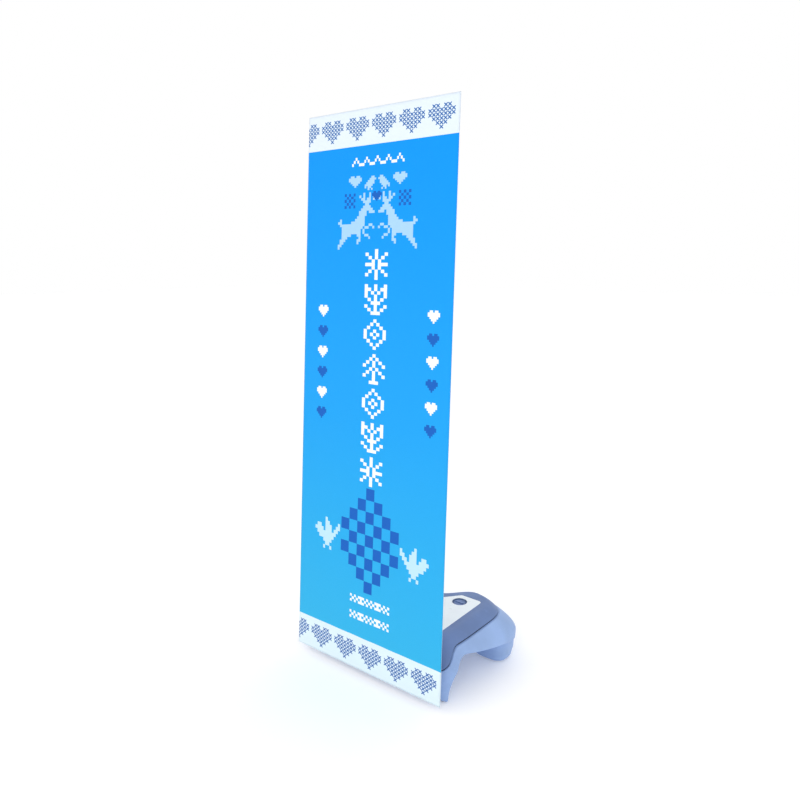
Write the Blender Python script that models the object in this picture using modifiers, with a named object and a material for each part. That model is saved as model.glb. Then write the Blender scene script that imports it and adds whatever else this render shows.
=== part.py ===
"""Outdoor X banner stand.

A hollow moulded base, filled with water in use, carries a telescopic mast on a coil spring.
The hub on the mast holds two crossed arms that fold like scissors. Their telescopic rods end in
tips, which stretch a printed sheet by the pockets at its corners.

Metres, +Z up, +X across the sheet, +Y to the back. The origin is on the floor, at the middle of the
stand's outer box. The mast, the arms and the sheet lean back together, so they are placed in the
frame of an empty at the top of the socket, with its Z up the mast.
"""

from math import asin, atan2, cos, hypot, pi, radians, sin, tan

import bmesh
import bpy
from mathutils import Matrix, Vector

# ---------------------------------------------------------------- driving dimensions

# Sheet
SHEET_WIDTH = 0.610
SHEET_HEIGHT = 1.830
SHEET_THICKNESS = 0.0008
SHEET_FLOOR_GAP = 0.020
LEAN = radians(2.7)

# Base
BASE_GAP = 0.035  # from the sheet's lower edge to the base's front
BASE_WIDTH = 0.690
BASE_DEPTH = 0.455
BASE_HEIGHT = 0.180
BASE_TAPER = 0.035  # how much narrower the base is at its front
COVER_RISE = 0.023  # from the seam at the sides and the back up to the cover's flat top
SHOULDER_DROP = 0.062  # from that seam down to where the base is widest
GROOVE_DROOP = 0.070  # how far the seam comes down towards the front
TANK_DEPTH = 0.080  # from the cover's flat top down to the tank's underside between the feet
SKIRT_THICKNESS = 0.062  # from the flare in to the flat belly
COVER_WALL = 0.005
TANK_WALL = 0.0045
NOTCH_DEPTH = 0.085  # hand hold in the middle of the back edge
NOTCH_FLAT = 0.060
NOTCH_END = 0.165
PAD_HEIGHT = 0.004
PAD_RADIUS = 0.010
PAD_INSET = 0.017  # from the front legs' outer wall to their pads' centres

# Fill cap
FILLER_X = 0.157
FILLER_FROM_BACK = 0.158
WELL_RADIUS = 0.0265
WELL_DEPTH = 0.0215
NECK_RADIUS = 0.0165
NECK_BORE = 0.0130
CAP_RADIUS = 0.0215

# Drain plug
DRAIN_X = -0.215
DRAIN_DROP = 0.058  # below the cover's flat top
DRAIN_BORE = 0.0088
DRAIN_RECESS = 0.0185

# Mast
MAST_STANDOFF = 0.115  # from the mast's axis to the sheet's front face
BOSS_HEIGHT = 0.025
SOCKET_BORE = 0.014
SPRING_OUTER = 0.018
SPRING_WIRE = 0.005
SPRING_PITCH = 0.0065
SPRING_TURNS = 8
LOWER_TUBE_RADIUS = 0.013
LOWER_TUBE_WALL = 0.0015
LOWER_TUBE_LENGTH = 0.400
UPPER_TUBE_RADIUS = 0.010
UPPER_TUBE_WALL = 0.0015
MAST_TRAVEL = 0.180
COLLAR_HEIGHT = 0.042

# Arms
ROTOR_THICKNESS = 0.016
ROTOR_RADIUS = 0.034
ARM_SOCKET_RADIUS = 0.0076
ARM_SOCKET_START = ROTOR_RADIUS - 0.0035
ARM_SOCKET_END = 0.078
ARM_TUBE_RADIUS = 0.006
ARM_TUBE_WALL = 0.001
ARM_TUBE_START = 0.040  # distances along an arm are from the pivot
ARM_TUBE_END = 0.500
LOCK_LENGTH = 0.036
LOCK_RADIUS = 0.0095
ROD_RADIUS = 0.0035
ROD_START = 0.400
TIP_RADIUS = 0.0046
TIP_LENGTH = 0.026

# Corner pockets
TIP_INSET_X = 0.026  # from the sheet's side edge to a tip's end
TIP_INSET_Z = 0.034
POCKET_WIDTH = 0.085
POCKET_HEIGHT = 0.110
POCKET_BLUNT = 0.030
POCKET_WALL = 0.0012
POCKET_HEM = 0.006

# Fits
GAP = 0.0003  # between pieces that touch
RUNNING = 0.0005  # round pieces that slide or turn in each other

# ---------------------------------------------------------------- derived places

DEPTH = BASE_GAP + BASE_DEPTH
SHEET_FRONT = -DEPTH / 2
BASE_FRONT = SHEET_FRONT + BASE_GAP
BASE_BACK = DEPTH / 2
SOCKET_TOP = BASE_HEIGHT + BOSS_HEIGHT
GROOVE_HEIGHT = BASE_HEIGHT - COVER_RISE
FLARE_HEIGHT = GROOVE_HEIGHT - SHOULDER_DROP
BELLY_HEIGHT = BASE_HEIGHT - TANK_DEPTH
DRAIN_HEIGHT = BASE_HEIGHT - DRAIN_DROP
SHEET_DROP = (SOCKET_TOP + MAST_STANDOFF * sin(LEAN) - SHEET_FLOOR_GAP) / cos(LEAN)
MAST_FOOT = SHEET_FRONT + MAST_STANDOFF * cos(LEAN) + SHEET_DROP * sin(LEAN)
HUB = SHEET_HEIGHT / 2 - SHEET_DROP  # along the mast, from the socket's top
COVER_BOTTOM = COVER_WALL + GAP

# Mast stack, along the mast from the socket's top
FLANGE_TOP = 0.0045
SOCKET_DEPTH = BOSS_HEIGHT + COVER_WALL / 2
LOWER_SHOULDER = FLANGE_TOP + GAP
SHOULDER_HEIGHT = 0.008
SPRING_START = LOWER_SHOULDER + SHOULDER_HEIGHT + GAP
SPRING_LENGTH = SPRING_TURNS * SPRING_PITCH + SPRING_WIRE
UPPER_SHOULDER = SPRING_START + SPRING_LENGTH + GAP
LOWER_TUBE_START = UPPER_SHOULDER + SHOULDER_HEIGHT + GAP
LOWER_TUBE_TOP = LOWER_TUBE_START + LOWER_TUBE_LENGTH
LOWER_TUBE_BORE = LOWER_TUBE_RADIUS - LOWER_TUBE_WALL
UPPER_TUBE_BORE = UPPER_TUBE_RADIUS - UPPER_TUBE_WALL
COLLAR_START = LOWER_TUBE_TOP - 0.030
BOLT_RADIUS = 0.004
UPPER_TUBE_TOP = HUB - BOLT_RADIUS - 0.004
BUSH_START = LOWER_TUBE_TOP - 0.060 - MAST_TRAVEL
BUSH_HEIGHT = 0.020

# Hub layers, from the housing's front face towards the sheet
HOUSING_FRONT = -0.018
HOUSING_BACK = 0.016
REAR_ROTOR = HOUSING_FRONT - GAP - ROTOR_THICKNESS / 2
FRONT_ROTOR = REAR_ROTOR - GAP - ROTOR_THICKNESS
TIP_PLANE = -MAST_STANDOFF + SHEET_THICKNESS + TIP_RADIUS + 2 * GAP
TIP_REACH_X = SHEET_WIDTH / 2 - TIP_INSET_X
TIP_REACH_Z = SHEET_HEIGHT / 2 - TIP_INSET_Z
ARM_REACH = hypot(TIP_REACH_X, TIP_REACH_Z)
ARM_ANGLE = atan2(TIP_REACH_X, TIP_REACH_Z)


def arm_cant(rotor):
    """Angle by which an arm comes forward, from the rim of its hub disc to the sheet."""
    return atan2(rotor - TIP_PLANE, ARM_REACH - ROTOR_RADIUS)


# ---------------------------------------------------------------- scene and materials

for stale in list(bpy.data.objects):
    bpy.data.objects.remove(stale, do_unlink=True)

PARTS = bpy.data.collections.new("x_banner_stand")
CUTTERS = bpy.data.collections.new("cutters")
for group in (PARTS, CUTTERS):
    bpy.context.scene.collection.children.link(group)


def linear(channel):
    """One 0-255 screen colour channel as linear light."""
    share = channel / 255
    return share / 12.92 if share <= 0.04045 else ((share + 0.055) / 1.055) ** 2.4


def material(name, colour, roughness, metallic=0.0):
    made = bpy.data.materials.new(name)
    made.use_nodes = True
    shader = made.node_tree.nodes["Principled BSDF"]
    shader.inputs["Base Color"].default_value = (*[linear(c) for c in colour], 1.0)
    shader.inputs["Roughness"].default_value = roughness
    shader.inputs["Metallic"].default_value = metallic
    return made


TANK_PLASTIC = material("tank_plastic", (160, 186, 228), 0.45)
COVER_PLASTIC = material("cover_plastic", (104, 126, 174), 0.45)
PANEL_PLASTIC = material("panel_plastic", (236, 242, 252), 0.35)
CAP_PLASTIC = material("cap_plastic", (112, 134, 176), 0.40)
BLACK_PLASTIC = material("black_plastic", (38, 40, 46), 0.50)
SEAL_RUBBER = material("seal_rubber", (30, 31, 34), 0.75)
SPRING_STEEL = material("spring_steel", (176, 180, 186), 0.28, 1.0)
ZINC_STEEL = material("zinc_steel", (190, 193, 198), 0.32, 1.0)
ALUMINIUM = material("anodised_aluminium", (196, 199, 204), 0.34, 1.0)
FIBREGLASS = material("fibreglass", (228, 229, 226), 0.40)
SHEET_FABRIC = material("printed_fabric", (45, 168, 245), 0.70)
POCKET_FABRIC = material("pocket_fabric", (232, 240, 250), 0.80)


# ---------------------------------------------------------------- shapes


def place(obj, parent, location, rotation):
    obj.parent = parent
    obj.location = location
    obj.rotation_euler = rotation
    return obj


def empty(name, parent=None, location=(0, 0, 0), rotation=(0, 0, 0)):
    made = bpy.data.objects.new(name, None)
    PARTS.objects.link(made)
    return place(made, parent, location, rotation)


def piece(name, mesh, finish, group=PARTS):
    made = bpy.data.objects.new(name, mesh)
    group.objects.link(made)
    if finish:
        mesh.materials.append(finish)
    else:
        made.hide_render = True
        made.display_type = "WIRE"
    return made


def mesh_from(bm, name):
    bmesh.ops.recalc_face_normals(bm, faces=bm.faces)
    mesh = bpy.data.meshes.new(name)
    bm.to_mesh(mesh)
    bm.free()
    return mesh


def box(name, size, finish=None, centre=(0, 0, 0), bevel=0.0, **spot):
    """A block about centre, with its edges rounded by bevel."""
    bm = bmesh.new()
    bmesh.ops.create_cube(bm, size=1.0, matrix=Matrix.LocRotScale(centre, None, size))
    made = piece(name, mesh_from(bm, name), finish, PARTS if finish else CUTTERS)
    if bevel:
        rounding = made.modifiers.new("edges", "BEVEL")
        rounding.width = bevel
        rounding.segments = 2
    return located(made, **spot)


def located(made, parent=None, location=(0, 0, 0), rotation=(0, 0, 0)):
    return place(made, parent, location, rotation)


def turned(name, profile, finish=None, steps=24, **spot):
    """A profile of (radius, height) points turned about Z; it runs down its outer side."""
    open_ended = profile[0][0] == 0.0
    edges = [(i, i + 1) for i in range(len(profile) - 1)]
    if not open_ended:
        edges.append((len(profile) - 1, 0))
    mesh = bpy.data.meshes.new(name)
    mesh.from_pydata([(radius, 0, height) for radius, height in profile], edges, [])
    made = piece(name, mesh, finish, PARTS if finish else CUTTERS)
    screw = made.modifiers.new("turn", "SCREW")
    screw.steps = steps
    screw.render_steps = steps
    screw.use_merge_vertices = True
    screw.merge_threshold = 0.00001
    return located(made, **spot)


def ring(name, outer, inner, low, high, finish=None, **rest):
    """A plain tube along Z."""
    return turned(name, [(outer, high), (outer, low), (inner, low), (inner, high)], finish, **rest)


def disc(name, radius, low, high, finish=None, **rest):
    """A plain cylinder along Z."""
    return turned(name, [(0.0, high), (radius, high), (radius, low), (0.0, low)], finish, **rest)


def combine(made, tool, operation):
    """Adds a Boolean of the tool to a piece."""
    cut = made.modifiers.new(tool.name, "BOOLEAN")
    cut.operation = operation
    cut.solver = "EXACT"
    cut.object = tool


def cut(made, *tools):
    for tool in tools:
        combine(made, tool, "DIFFERENCE")
    return made


def join(made, *tools):
    for tool in tools:
        combine(made, tool, "UNION")
    return made


# ---------------------------------------------------------------- the base's outlines

SQUARENESS = 5.0  # superellipse exponent of every outline of the base
SIDE_STATIONS = 5
CORNER_STATIONS = 9
STRAIGHT_SHARE = 0.80  # share of each half side that the evenly spaced stations cover


def station_angles():
    """Angles round an outline, spaced evenly along its sides and finely round its corners."""
    shares = [STRAIGHT_SHARE * k / SIDE_STATIONS for k in range(SIDE_STATIONS + 1)]
    spread = [asin(share ** (SQUARENESS / 2)) for share in shares]
    first = spread[-1]
    corner = [first + (pi / 2 - 2 * first) * k / CORNER_STATIONS for k in range(1, CORNER_STATIONS)]
    quarter = spread + corner + [pi / 2 - angle for angle in reversed(spread[1:])]
    return [quadrant * pi / 2 + angle for quadrant in range(4) for angle in quarter]


ANGLES = station_angles()


def smooth(share):
    share = min(max(share, 0.0), 1.0)
    return share * share * (3 - 2 * share)


def outline(half_width, front, back, angle):
    """A point at this angle on a rounded outline, with the hand hold in its back edge."""
    middle, half_depth = (front + back) / 2, (back - front) / 2
    power = 2 / SQUARENESS
    x = half_width * abs(cos(angle)) ** power * (1 if cos(angle) > 0 else -1)
    y = half_depth * abs(sin(angle)) ** power * (1 if sin(angle) > 0 else -1)
    near_middle = 1 - smooth((abs(x) - NOTCH_FLAT) / (NOTCH_END - NOTCH_FLAT))
    taper = 1 - BASE_TAPER * (0.5 - y / half_depth / 2)
    return x * taper, middle + y - NOTCH_DEPTH * near_middle * smooth(y / half_depth)


def loft(name, rings, finish=None):
    """A closed body through rings of points, with its first and last ring filled.

    Its quads are split one way, so that two lofts laid one on the other bend alike.
    """
    bm = bmesh.new()
    loops = [[bm.verts.new(point) for point in points] for points in rings]
    count = len(loops[0])
    for low, high in zip(loops, loops[1:]):
        for k in range(count):
            after = (k + 1) % count
            bm.faces.new((low[k], low[after], high[after]))
            bm.faces.new((low[k], high[after], high[k]))
    bm.faces.new(loops[0])
    bm.faces.new(loops[-1])
    return piece(name, mesh_from(bm, name), finish, PARTS if finish else CUTTERS)


# Half width, front and back of the base at its named heights
FOOT_LINE = (BASE_WIDTH / 2 + 0.007, BASE_FRONT - 0.007, BASE_BACK - 0.050)
FLARE_LINE = (BASE_WIDTH / 2, BASE_FRONT, BASE_BACK)
GROOVE_LINE = (BASE_WIDTH / 2 - 0.054, BASE_FRONT + 0.006, BASE_BACK - 0.042)
PLATEAU_LINE = (BASE_WIDTH / 2 - 0.100, BASE_FRONT + 0.050, BASE_BACK - 0.064)


def between(low_line, high_line, share):
    return tuple(low + (high - low) * share for low, high in zip(low_line, high_line))


def inset(line, wall):
    half_width, front, back = line
    return half_width - wall, front + wall, back - wall


def wall_line(height):
    """The outline of the base's side wall at a height."""
    if height < FLARE_HEIGHT:
        return between(FLARE_LINE, FOOT_LINE, (1 - height / FLARE_HEIGHT) ** 1.4)
    share = (height - FLARE_HEIGHT) / (GROOVE_HEIGHT - FLARE_HEIGHT)
    return between(FLARE_LINE, GROOVE_LINE, share**1.5)


def wall_point(angle, height, wall=0.0):
    return (*outline(*inset(wall_line(height), wall), angle), height)


LEG_REACH = 0.013  # from the middle of a front corner to where the leg's foot ends
LEG_BLEND = 0.055
LEG_ANGLE = -pi / 4 - 0.08  # where the right front leg stands on the outlines
ARCH_START = 0.100  # distances from the front
ARCH_PEAK = FLARE_HEIGHT + 0.035
SKIRT_LEAST = 0.028  # least height of the side wall under the seam
ARCH_FALL = 0.22  # how fast the arch comes down towards the back
FOOT_BOTTOM = PAD_HEIGHT + GAP


def groove_height(angle):
    """Height of the seam under the cover, lower towards the front."""
    _, y, _ = wall_point(angle, GROOVE_HEIGHT)
    return GROOVE_HEIGHT - GROOVE_DROOP * (1 - smooth((y - BASE_FRONT) / 0.115)) ** 2


def edge_height(angle):
    """Height of the skirt's lower edge: a front leg, an arch, and a slow fall to the back."""
    x, y, _ = wall_point(angle, FLARE_HEIGHT)
    corner_x, corner_y, _ = wall_point(LEG_ANGLE, FLARE_HEIGHT)
    from_front = y - BASE_FRONT
    from_corner = hypot(abs(x) - corner_x, y - corner_y)
    share = min(max((from_corner - LEG_REACH) / LEG_BLEND, 0.0), 1.0)
    rise = (share * (2 - share)) ** 0.5
    arch = min(ARCH_PEAK - ARCH_FALL * max(0.0, from_front - ARCH_START), groove_height(angle) - SKIRT_LEAST)
    return FOOT_BOTTOM + (arch - FOOT_BOTTOM) * rise


def shoulder_ring(share, drop=0.0, wall=0.0):
    """A ring of the cover's rounded shoulder, from the seam (0) to the plateau (1)."""
    points = []
    for angle in ANGLES:
        seam = groove_height(angle)
        low = outline(*inset(wall_line(seam), wall), angle)
        high = outline(*inset(PLATEAU_LINE, wall), angle)
        x, y = (a + (b - a) * share for a, b in zip(low, high))
        height = seam + (BASE_HEIGHT - seam) * sin(pi / 2 * share) ** 0.9
        points.append((x, y, height - drop))
    return points


SHOULDER_SHARES = (0.0, 0.18, 0.42, 0.70, 1.0)
SEAM_WIDTH = 0.004

# ---------------------------------------------------------------- tank


def tank_rings():
    belly = inset(FLARE_LINE, SKIRT_THICKNESS)
    edges = [edge_height(angle) for angle in ANGLES]
    seams = [groove_height(angle) - COVER_BOTTOM for angle in ANGLES]
    rings = [[(*outline(*inset(belly, 0.04), angle), BELLY_HEIGHT) for angle in ANGLES]]
    rings.append([(*outline(*belly, angle), BELLY_HEIGHT) for angle in ANGLES])
    rings.append([wall_point(angle, edge, 0.030) for angle, edge in zip(ANGLES, edges)])
    rings.append([wall_point(angle, edge, 0.007) for angle, edge in zip(ANGLES, edges)])
    rings.append([wall_point(angle, edge + 0.004, 0.001) for angle, edge in zip(ANGLES, edges)])
    for share in (0.25, 0.5, 0.75, 1.0):
        heights = [edge + 0.004 + (seam - edge - 0.004) * share for edge, seam in zip(edges, seams)]
        rings.append([wall_point(angle, height) for angle, height in zip(ANGLES, heights)])
    rings.append(shoulder_ring(0.0, COVER_BOTTOM, SEAM_WIDTH))
    for share in SHOULDER_SHARES[1:]:
        rings.append(shoulder_ring(share, COVER_BOTTOM, COVER_BOTTOM))
    return rings


def cavity():
    """Space for the water, a wall's thickness inside the tank."""
    floor, roof = BELLY_HEIGHT + TANK_WALL, BASE_HEIGHT - COVER_BOTTOM - TANK_WALL
    middle = (floor + roof) / 2
    lines = (
        (floor, (FLARE_LINE[0] - 0.032, BASE_FRONT + 0.030, BASE_BACK - 0.050)),
        (middle, (GROOVE_LINE[0] - 0.014, BASE_FRONT + 0.052, GROOVE_LINE[2] - 0.018)),
        (roof, (PLATEAU_LINE[0] - 0.012, BASE_FRONT + 0.072, PLATEAU_LINE[2] - 0.020)),
    )
    return loft("cavity", [[(*outline(*line, angle), height) for angle in ANGLES] for height, line in lines])


LEG_SQUARENESS = 0.72
REAR_LEG_X = BASE_WIDTH / 2 - 0.084
REAR_LEG_Y = BASE_BACK - 0.104
REAR_LEG_SIZES = ((0.000, 0.050, 0.038), (0.004, 0.057, 0.045), (0.014, 0.063, 0.051), (0.036, 0.069, 0.056))
REAR_LEG_TOP = (0.073, 0.060)  # half sizes where it meets the tank's belly


def rear_leg(name, side, wall=0.0):
    """A block under a back corner, rounded in towards the floor."""
    foot = FOOT_BOTTOM + wall
    top = BELLY_HEIGHT + (0.012 if wall else 0.006)
    rings = []
    sizes = [(foot + rise, *half) for rise, *half in REAR_LEG_SIZES]
    for height, half_x, half_y in (*sizes, (top, *REAR_LEG_TOP)):
        points = []
        for k in range(32):
            angle = 2 * pi * k / 32
            across = abs(cos(angle)) ** LEG_SQUARENESS * (1 if cos(angle) > 0 else -1) * (half_x - wall)
            along = abs(sin(angle)) ** LEG_SQUARENESS * (1 if sin(angle) > 0 else -1) * (half_y - wall)
            points.append((side * REAR_LEG_X + across, REAR_LEG_Y + along, height))
        rings.append(points)
    return loft(name, rings)


FILLER_Y = BASE_BACK - FILLER_FROM_BACK
WELL_FLOOR = BASE_HEIGHT - WELL_DEPTH
NECK_TOP = BASE_HEIGHT - 0.0095
DRAIN_FACE = BASE_BACK - 0.026
TURN_TO_BACK = (-pi / 2, 0, 0)  # turns a piece's Z to +Y


def tank_body():
    tank = loft("tank_body", tank_rings(), TANK_PLASTIC)
    filler = {"location": (FILLER_X, FILLER_Y, 0), "steps": 32}
    drain = {"location": (DRAIN_X, DRAIN_FACE, DRAIN_HEIGHT), "rotation": TURN_TO_BACK}
    tank_top = BASE_HEIGHT - COVER_BOTTOM
    for side, label in ((1, "right"), (-1, "left")):
        join(tank, rear_leg(f"rear_leg_{label}", side))
    cut(tank, cavity())
    for side, label in ((1, "right"), (-1, "left")):
        cut(tank, rear_leg(f"rear_leg_hollow_{label}", side, TANK_WALL))
    well_outside = WELL_RADIUS + TANK_WALL
    join(tank, disc("well_block", well_outside, WELL_FLOOR - TANK_WALL, tank_top - 0.0002, **filler))
    cut(tank, disc("well", WELL_RADIUS, WELL_FLOOR, tank_top + 0.01, **filler))
    join(tank, disc("neck", NECK_RADIUS, WELL_FLOOR - 0.002, NECK_TOP, **filler))
    cut(tank, disc("neck_bore", NECK_BORE, BELLY_HEIGHT + 0.02, tank_top + 0.01, **filler))
    join(tank, disc("drain_block", DRAIN_RECESS + TANK_WALL, -0.022, 0.001, **drain))
    cut(tank, disc("drain_recess", DRAIN_RECESS, -0.010, 0.03, **drain))
    cut(tank, disc("drain_bore", DRAIN_BORE, -0.04, 0.02, **drain))
    return tank


def foot_pads():
    """A rubber disc under each leg."""
    front_x, front_y, _ = wall_point(LEG_ANGLE, FOOT_BOTTOM, PAD_INSET)
    places = {"front": (front_x, front_y), "rear": (REAR_LEG_X, REAR_LEG_Y)}
    for end, (x, y) in places.items():
        for side, label in ((1, "right"), (-1, "left")):
            spot = (side * x, y, 0)
            disc(f"foot_pad_{end}_{label}", PAD_RADIUS, 0.0, PAD_HEIGHT, SEAL_RUBBER, location=spot)


# ---------------------------------------------------------------- cover and panels

PANEL_THICKNESS = 0.0020
PANEL_RECESS = 0.0023
PANEL_OUTER = PLATEAU_LINE[0] - 0.024
PANEL_INNER = 0.075
PANEL_FRONT = BASE_FRONT + 0.072
PANEL_BACK = BASE_BACK - 0.112


def flat_outline(name, corners, radius, low, high, finish=None, side=1):
    """A flat plate with rounded corners, from low to high."""
    count = len(corners)
    points = []
    for k, corner in enumerate(corners):
        here = Vector(corner)
        back, ahead = Vector(corners[k - 1]) - here, Vector(corners[(k + 1) % count]) - here
        half = back.angle(ahead) / 2
        reach = radius / tan(half)
        centre = here + (back.normalized() + ahead.normalized()).normalized() * radius / sin(half)
        start, end = here + back.normalized() * reach - centre, here + ahead.normalized() * reach - centre
        turn = start.angle_signed(end)
        for step in range(6):
            arc = -turn * step / 5
            points.append(centre + Matrix.Rotation(arc, 2) @ start)
    bm = bmesh.new()
    face = bm.faces.new([bm.verts.new((side * x, y, low)) for x, y in points])
    raised = bmesh.ops.extrude_face_region(bm, geom=[face])["geom"]
    corners_up = [vertex for vertex in raised if isinstance(vertex, bmesh.types.BMVert)]
    bmesh.ops.translate(bm, vec=(0, 0, high - low), verts=corners_up)
    return piece(name, mesh_from(bm, name), finish, PARTS if finish else CUTTERS)


def panel_corners(gap):
    """The inlay's outline, clockwise from its front inner corner, smaller all round by gap."""
    inner, outer = PANEL_INNER + gap, PANEL_OUTER - gap
    front, back = PANEL_FRONT + gap, PANEL_BACK - gap
    return (
        (inner, front),
        (inner, back - 0.075),
        (inner + 0.062, back),
        (outer, back),
        (outer, front),
    )


def boss():
    """The cover's tapered seat for the mast socket."""
    foot = -BOSS_HEIGHT - COVER_WALL * 0.5
    top, rim, side = 0.034, 0.036, 0.040
    return [(0.0, 0.002), (top, 0.002), (rim, -0.002), (side, -BOSS_HEIGHT), (side, foot), (0.0, foot)]


def top_cover():
    skin = [shoulder_ring(share, 0.0, 0.0) for share in SHOULDER_SHARES]
    under = [shoulder_ring(share, COVER_WALL, COVER_WALL) for share in SHOULDER_SHARES[1:]]
    rim = shoulder_ring(0.0, COVER_WALL - 0.0015, SEAM_WIDTH)
    rings = [*reversed(skin), rim, *under]
    cover = loft("top_cover", rings, COVER_PLASTIC)
    for side, label in ((1, "right"), (-1, "left")):
        low, high = BASE_HEIGHT - PANEL_RECESS, BASE_HEIGHT + 0.01
        cut(cover, flat_outline(f"panel_recess_{label}", panel_corners(0), 0.014, low, high, side=side))
    cut(cover, disc("cover_hole", WELL_RADIUS, 0.1, 0.3, location=(FILLER_X, FILLER_Y, 0)))
    join(cover, turned("mast_boss", boss(), location=(0, MAST_FOOT, SOCKET_TOP), steps=32))
    socket = {"location": (0, MAST_FOOT, SOCKET_TOP), "rotation": (-LEAN, 0, 0)}
    cut(cover, disc("boss_face", 0.06, 0.0, 0.02, **socket))
    cut(cover, disc("boss_bore", SOCKET_BORE + 0.0025 + GAP, -SOCKET_DEPTH - GAP, 0.01, **socket))
    return cover


def panels():
    """Pale inlays, one each side of the mast; the right one clears the fill cap."""
    low = BASE_HEIGHT - PANEL_RECESS + GAP
    for side, label in ((1, "right"), (-1, "left")):
        inlay = flat_outline(
            f"panel_{label}", panel_corners(GAP), 0.0137, low, low + PANEL_THICKNESS, PANEL_PLASTIC, side
        )
        if side > 0:
            cut(inlay, disc("panel_hole", WELL_RADIUS, 0.1, 0.3, location=(FILLER_X, FILLER_Y, 0)))


# ---------------------------------------------------------------- cap and drain plug

CAP_LOW = WELL_FLOOR + 0.0012
SEAL_LOW = NECK_TOP + GAP
SEAL_THICKNESS = 0.0012
CAP_CEILING = SEAL_LOW + SEAL_THICKNESS + GAP
CAP_TOP = CAP_CEILING + 0.0040


def fill_cap():
    axis = {"location": (FILLER_X, FILLER_Y, 0)}
    inner = NECK_RADIUS + RUNNING
    profile = [
        (0.0, CAP_TOP),
        (CAP_RADIUS - 0.0012, CAP_TOP),
        (CAP_RADIUS, CAP_TOP - 0.0012),
        (CAP_RADIUS, CAP_LOW),
        (inner, CAP_LOW),
        (inner, CAP_CEILING),
        (0.0, CAP_CEILING),
    ]
    cap = turned("fill_cap", profile, CAP_PLASTIC, steps=32, **axis)
    grip = box("cap_grip", (0.034, 0.007, 0.004), centre=(0, 0, CAP_TOP + 0.001), **axis)
    join(cap, grip)
    outer, bore = NECK_RADIUS - GAP, NECK_BORE + GAP
    ring("cap_seal", outer, bore, SEAL_LOW, SEAL_LOW + SEAL_THICKNESS, SEAL_RUBBER, **axis)


def drain_plug():
    axis = {"location": (DRAIN_X, DRAIN_FACE, DRAIN_HEIGHT), "rotation": TURN_TO_BACK}
    seat = -0.010 + GAP
    seal_top = seat + SEAL_THICKNESS
    head_low = seal_top + GAP
    head_top = head_low + 0.007
    shaft = DRAIN_BORE - RUNNING
    profile = [
        (0.0, head_top),
        (0.0125, head_top),
        (0.0135, head_top - 0.001),
        (0.0135, head_low),
        (shaft, head_low),
        (shaft, -0.030),
        (0.0, -0.030),
    ]
    plug = turned("drain_plug", profile, CAP_PLASTIC, **axis)
    cut(plug, box("drain_slot", (0.020, 0.0035, 0.006), centre=(0, 0, head_top), **axis))
    ring("drain_seal", 0.0130, DRAIN_BORE + 0.0003, seat, seal_top, SEAL_RUBBER, **axis)


# ---------------------------------------------------------------- mast

LEANING = empty("leaning_frame", None, (0, MAST_FOOT, SOCKET_TOP), (-LEAN, 0, 0))
SCREW_CIRCLE = 0.0255
FLANGE_RADIUS = 0.0315


def mast_socket():
    outer = SOCKET_BORE + 0.0025
    profile = [
        (FLANGE_RADIUS, FLANGE_TOP),
        (FLANGE_RADIUS, GAP),
        (outer, GAP),
        (outer, -SOCKET_DEPTH),
        (SOCKET_BORE, -SOCKET_DEPTH),
        (SOCKET_BORE, FLANGE_TOP),
    ]
    socket = turned("mast_socket", profile, ZINC_STEEL, parent=LEANING)
    for k in range(4):
        x, y = SCREW_CIRCLE * cos(pi / 4 + k * pi / 2), SCREW_CIRCLE * sin(pi / 4 + k * pi / 2)
        spot = {"parent": LEANING, "location": (x, y, 0)}
        cut(socket, disc(f"screw_hole_{k + 1}", 0.0022, -0.01, 0.01, steps=12, **spot))
        bore = disc(f"screw_bore_{k + 1}", 0.0022, -0.016, 0.01, steps=12, **spot)
        cut(bpy.data.objects["top_cover"], bore)
        head = FLANGE_TOP + GAP
        profile = [
            (0.0, head + 0.0024),
            (0.0026, head + 0.0024),
            (0.0040, head + 0.0008),
            (0.0040, head),
            (0.0018, head),
            (0.0018, -0.015),
            (0.0, -0.015),
        ]
        turned(f"socket_screw_{k + 1}", profile, ZINC_STEEL, steps=12, **spot)


def spring_plugs():
    """Turned plugs that hold the coil's ends: one stands in the socket, one carries the tube."""
    inside_coil = SPRING_OUTER - SPRING_WIRE - 0.001
    shoulder = SPRING_OUTER + 0.002
    lower = [
        (0.0, SPRING_START + 0.016),
        (inside_coil, SPRING_START + 0.016),
        (inside_coil, LOWER_SHOULDER + SHOULDER_HEIGHT),
        (shoulder, LOWER_SHOULDER + SHOULDER_HEIGHT),
        (shoulder, LOWER_SHOULDER),
        (SOCKET_BORE - GAP, LOWER_SHOULDER),
        (SOCKET_BORE - GAP, -SOCKET_DEPTH + 0.002),
        (0.0, -SOCKET_DEPTH + 0.002),
    ]
    turned("spring_plug_lower", lower, ZINC_STEEL, parent=LEANING)
    top = UPPER_SHOULDER + SHOULDER_HEIGHT
    upper = [
        (0.0, LOWER_TUBE_START + 0.028),
        (LOWER_TUBE_BORE - GAP, LOWER_TUBE_START + 0.028),
        (LOWER_TUBE_BORE - GAP, top),
        (shoulder, top),
        (shoulder, UPPER_SHOULDER),
        (inside_coil, UPPER_SHOULDER),
        (inside_coil, UPPER_SHOULDER - 0.016),
        (0.0, UPPER_SHOULDER - 0.016),
    ]
    turned("spring_plug_upper", upper, ZINC_STEEL, parent=LEANING)


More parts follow.
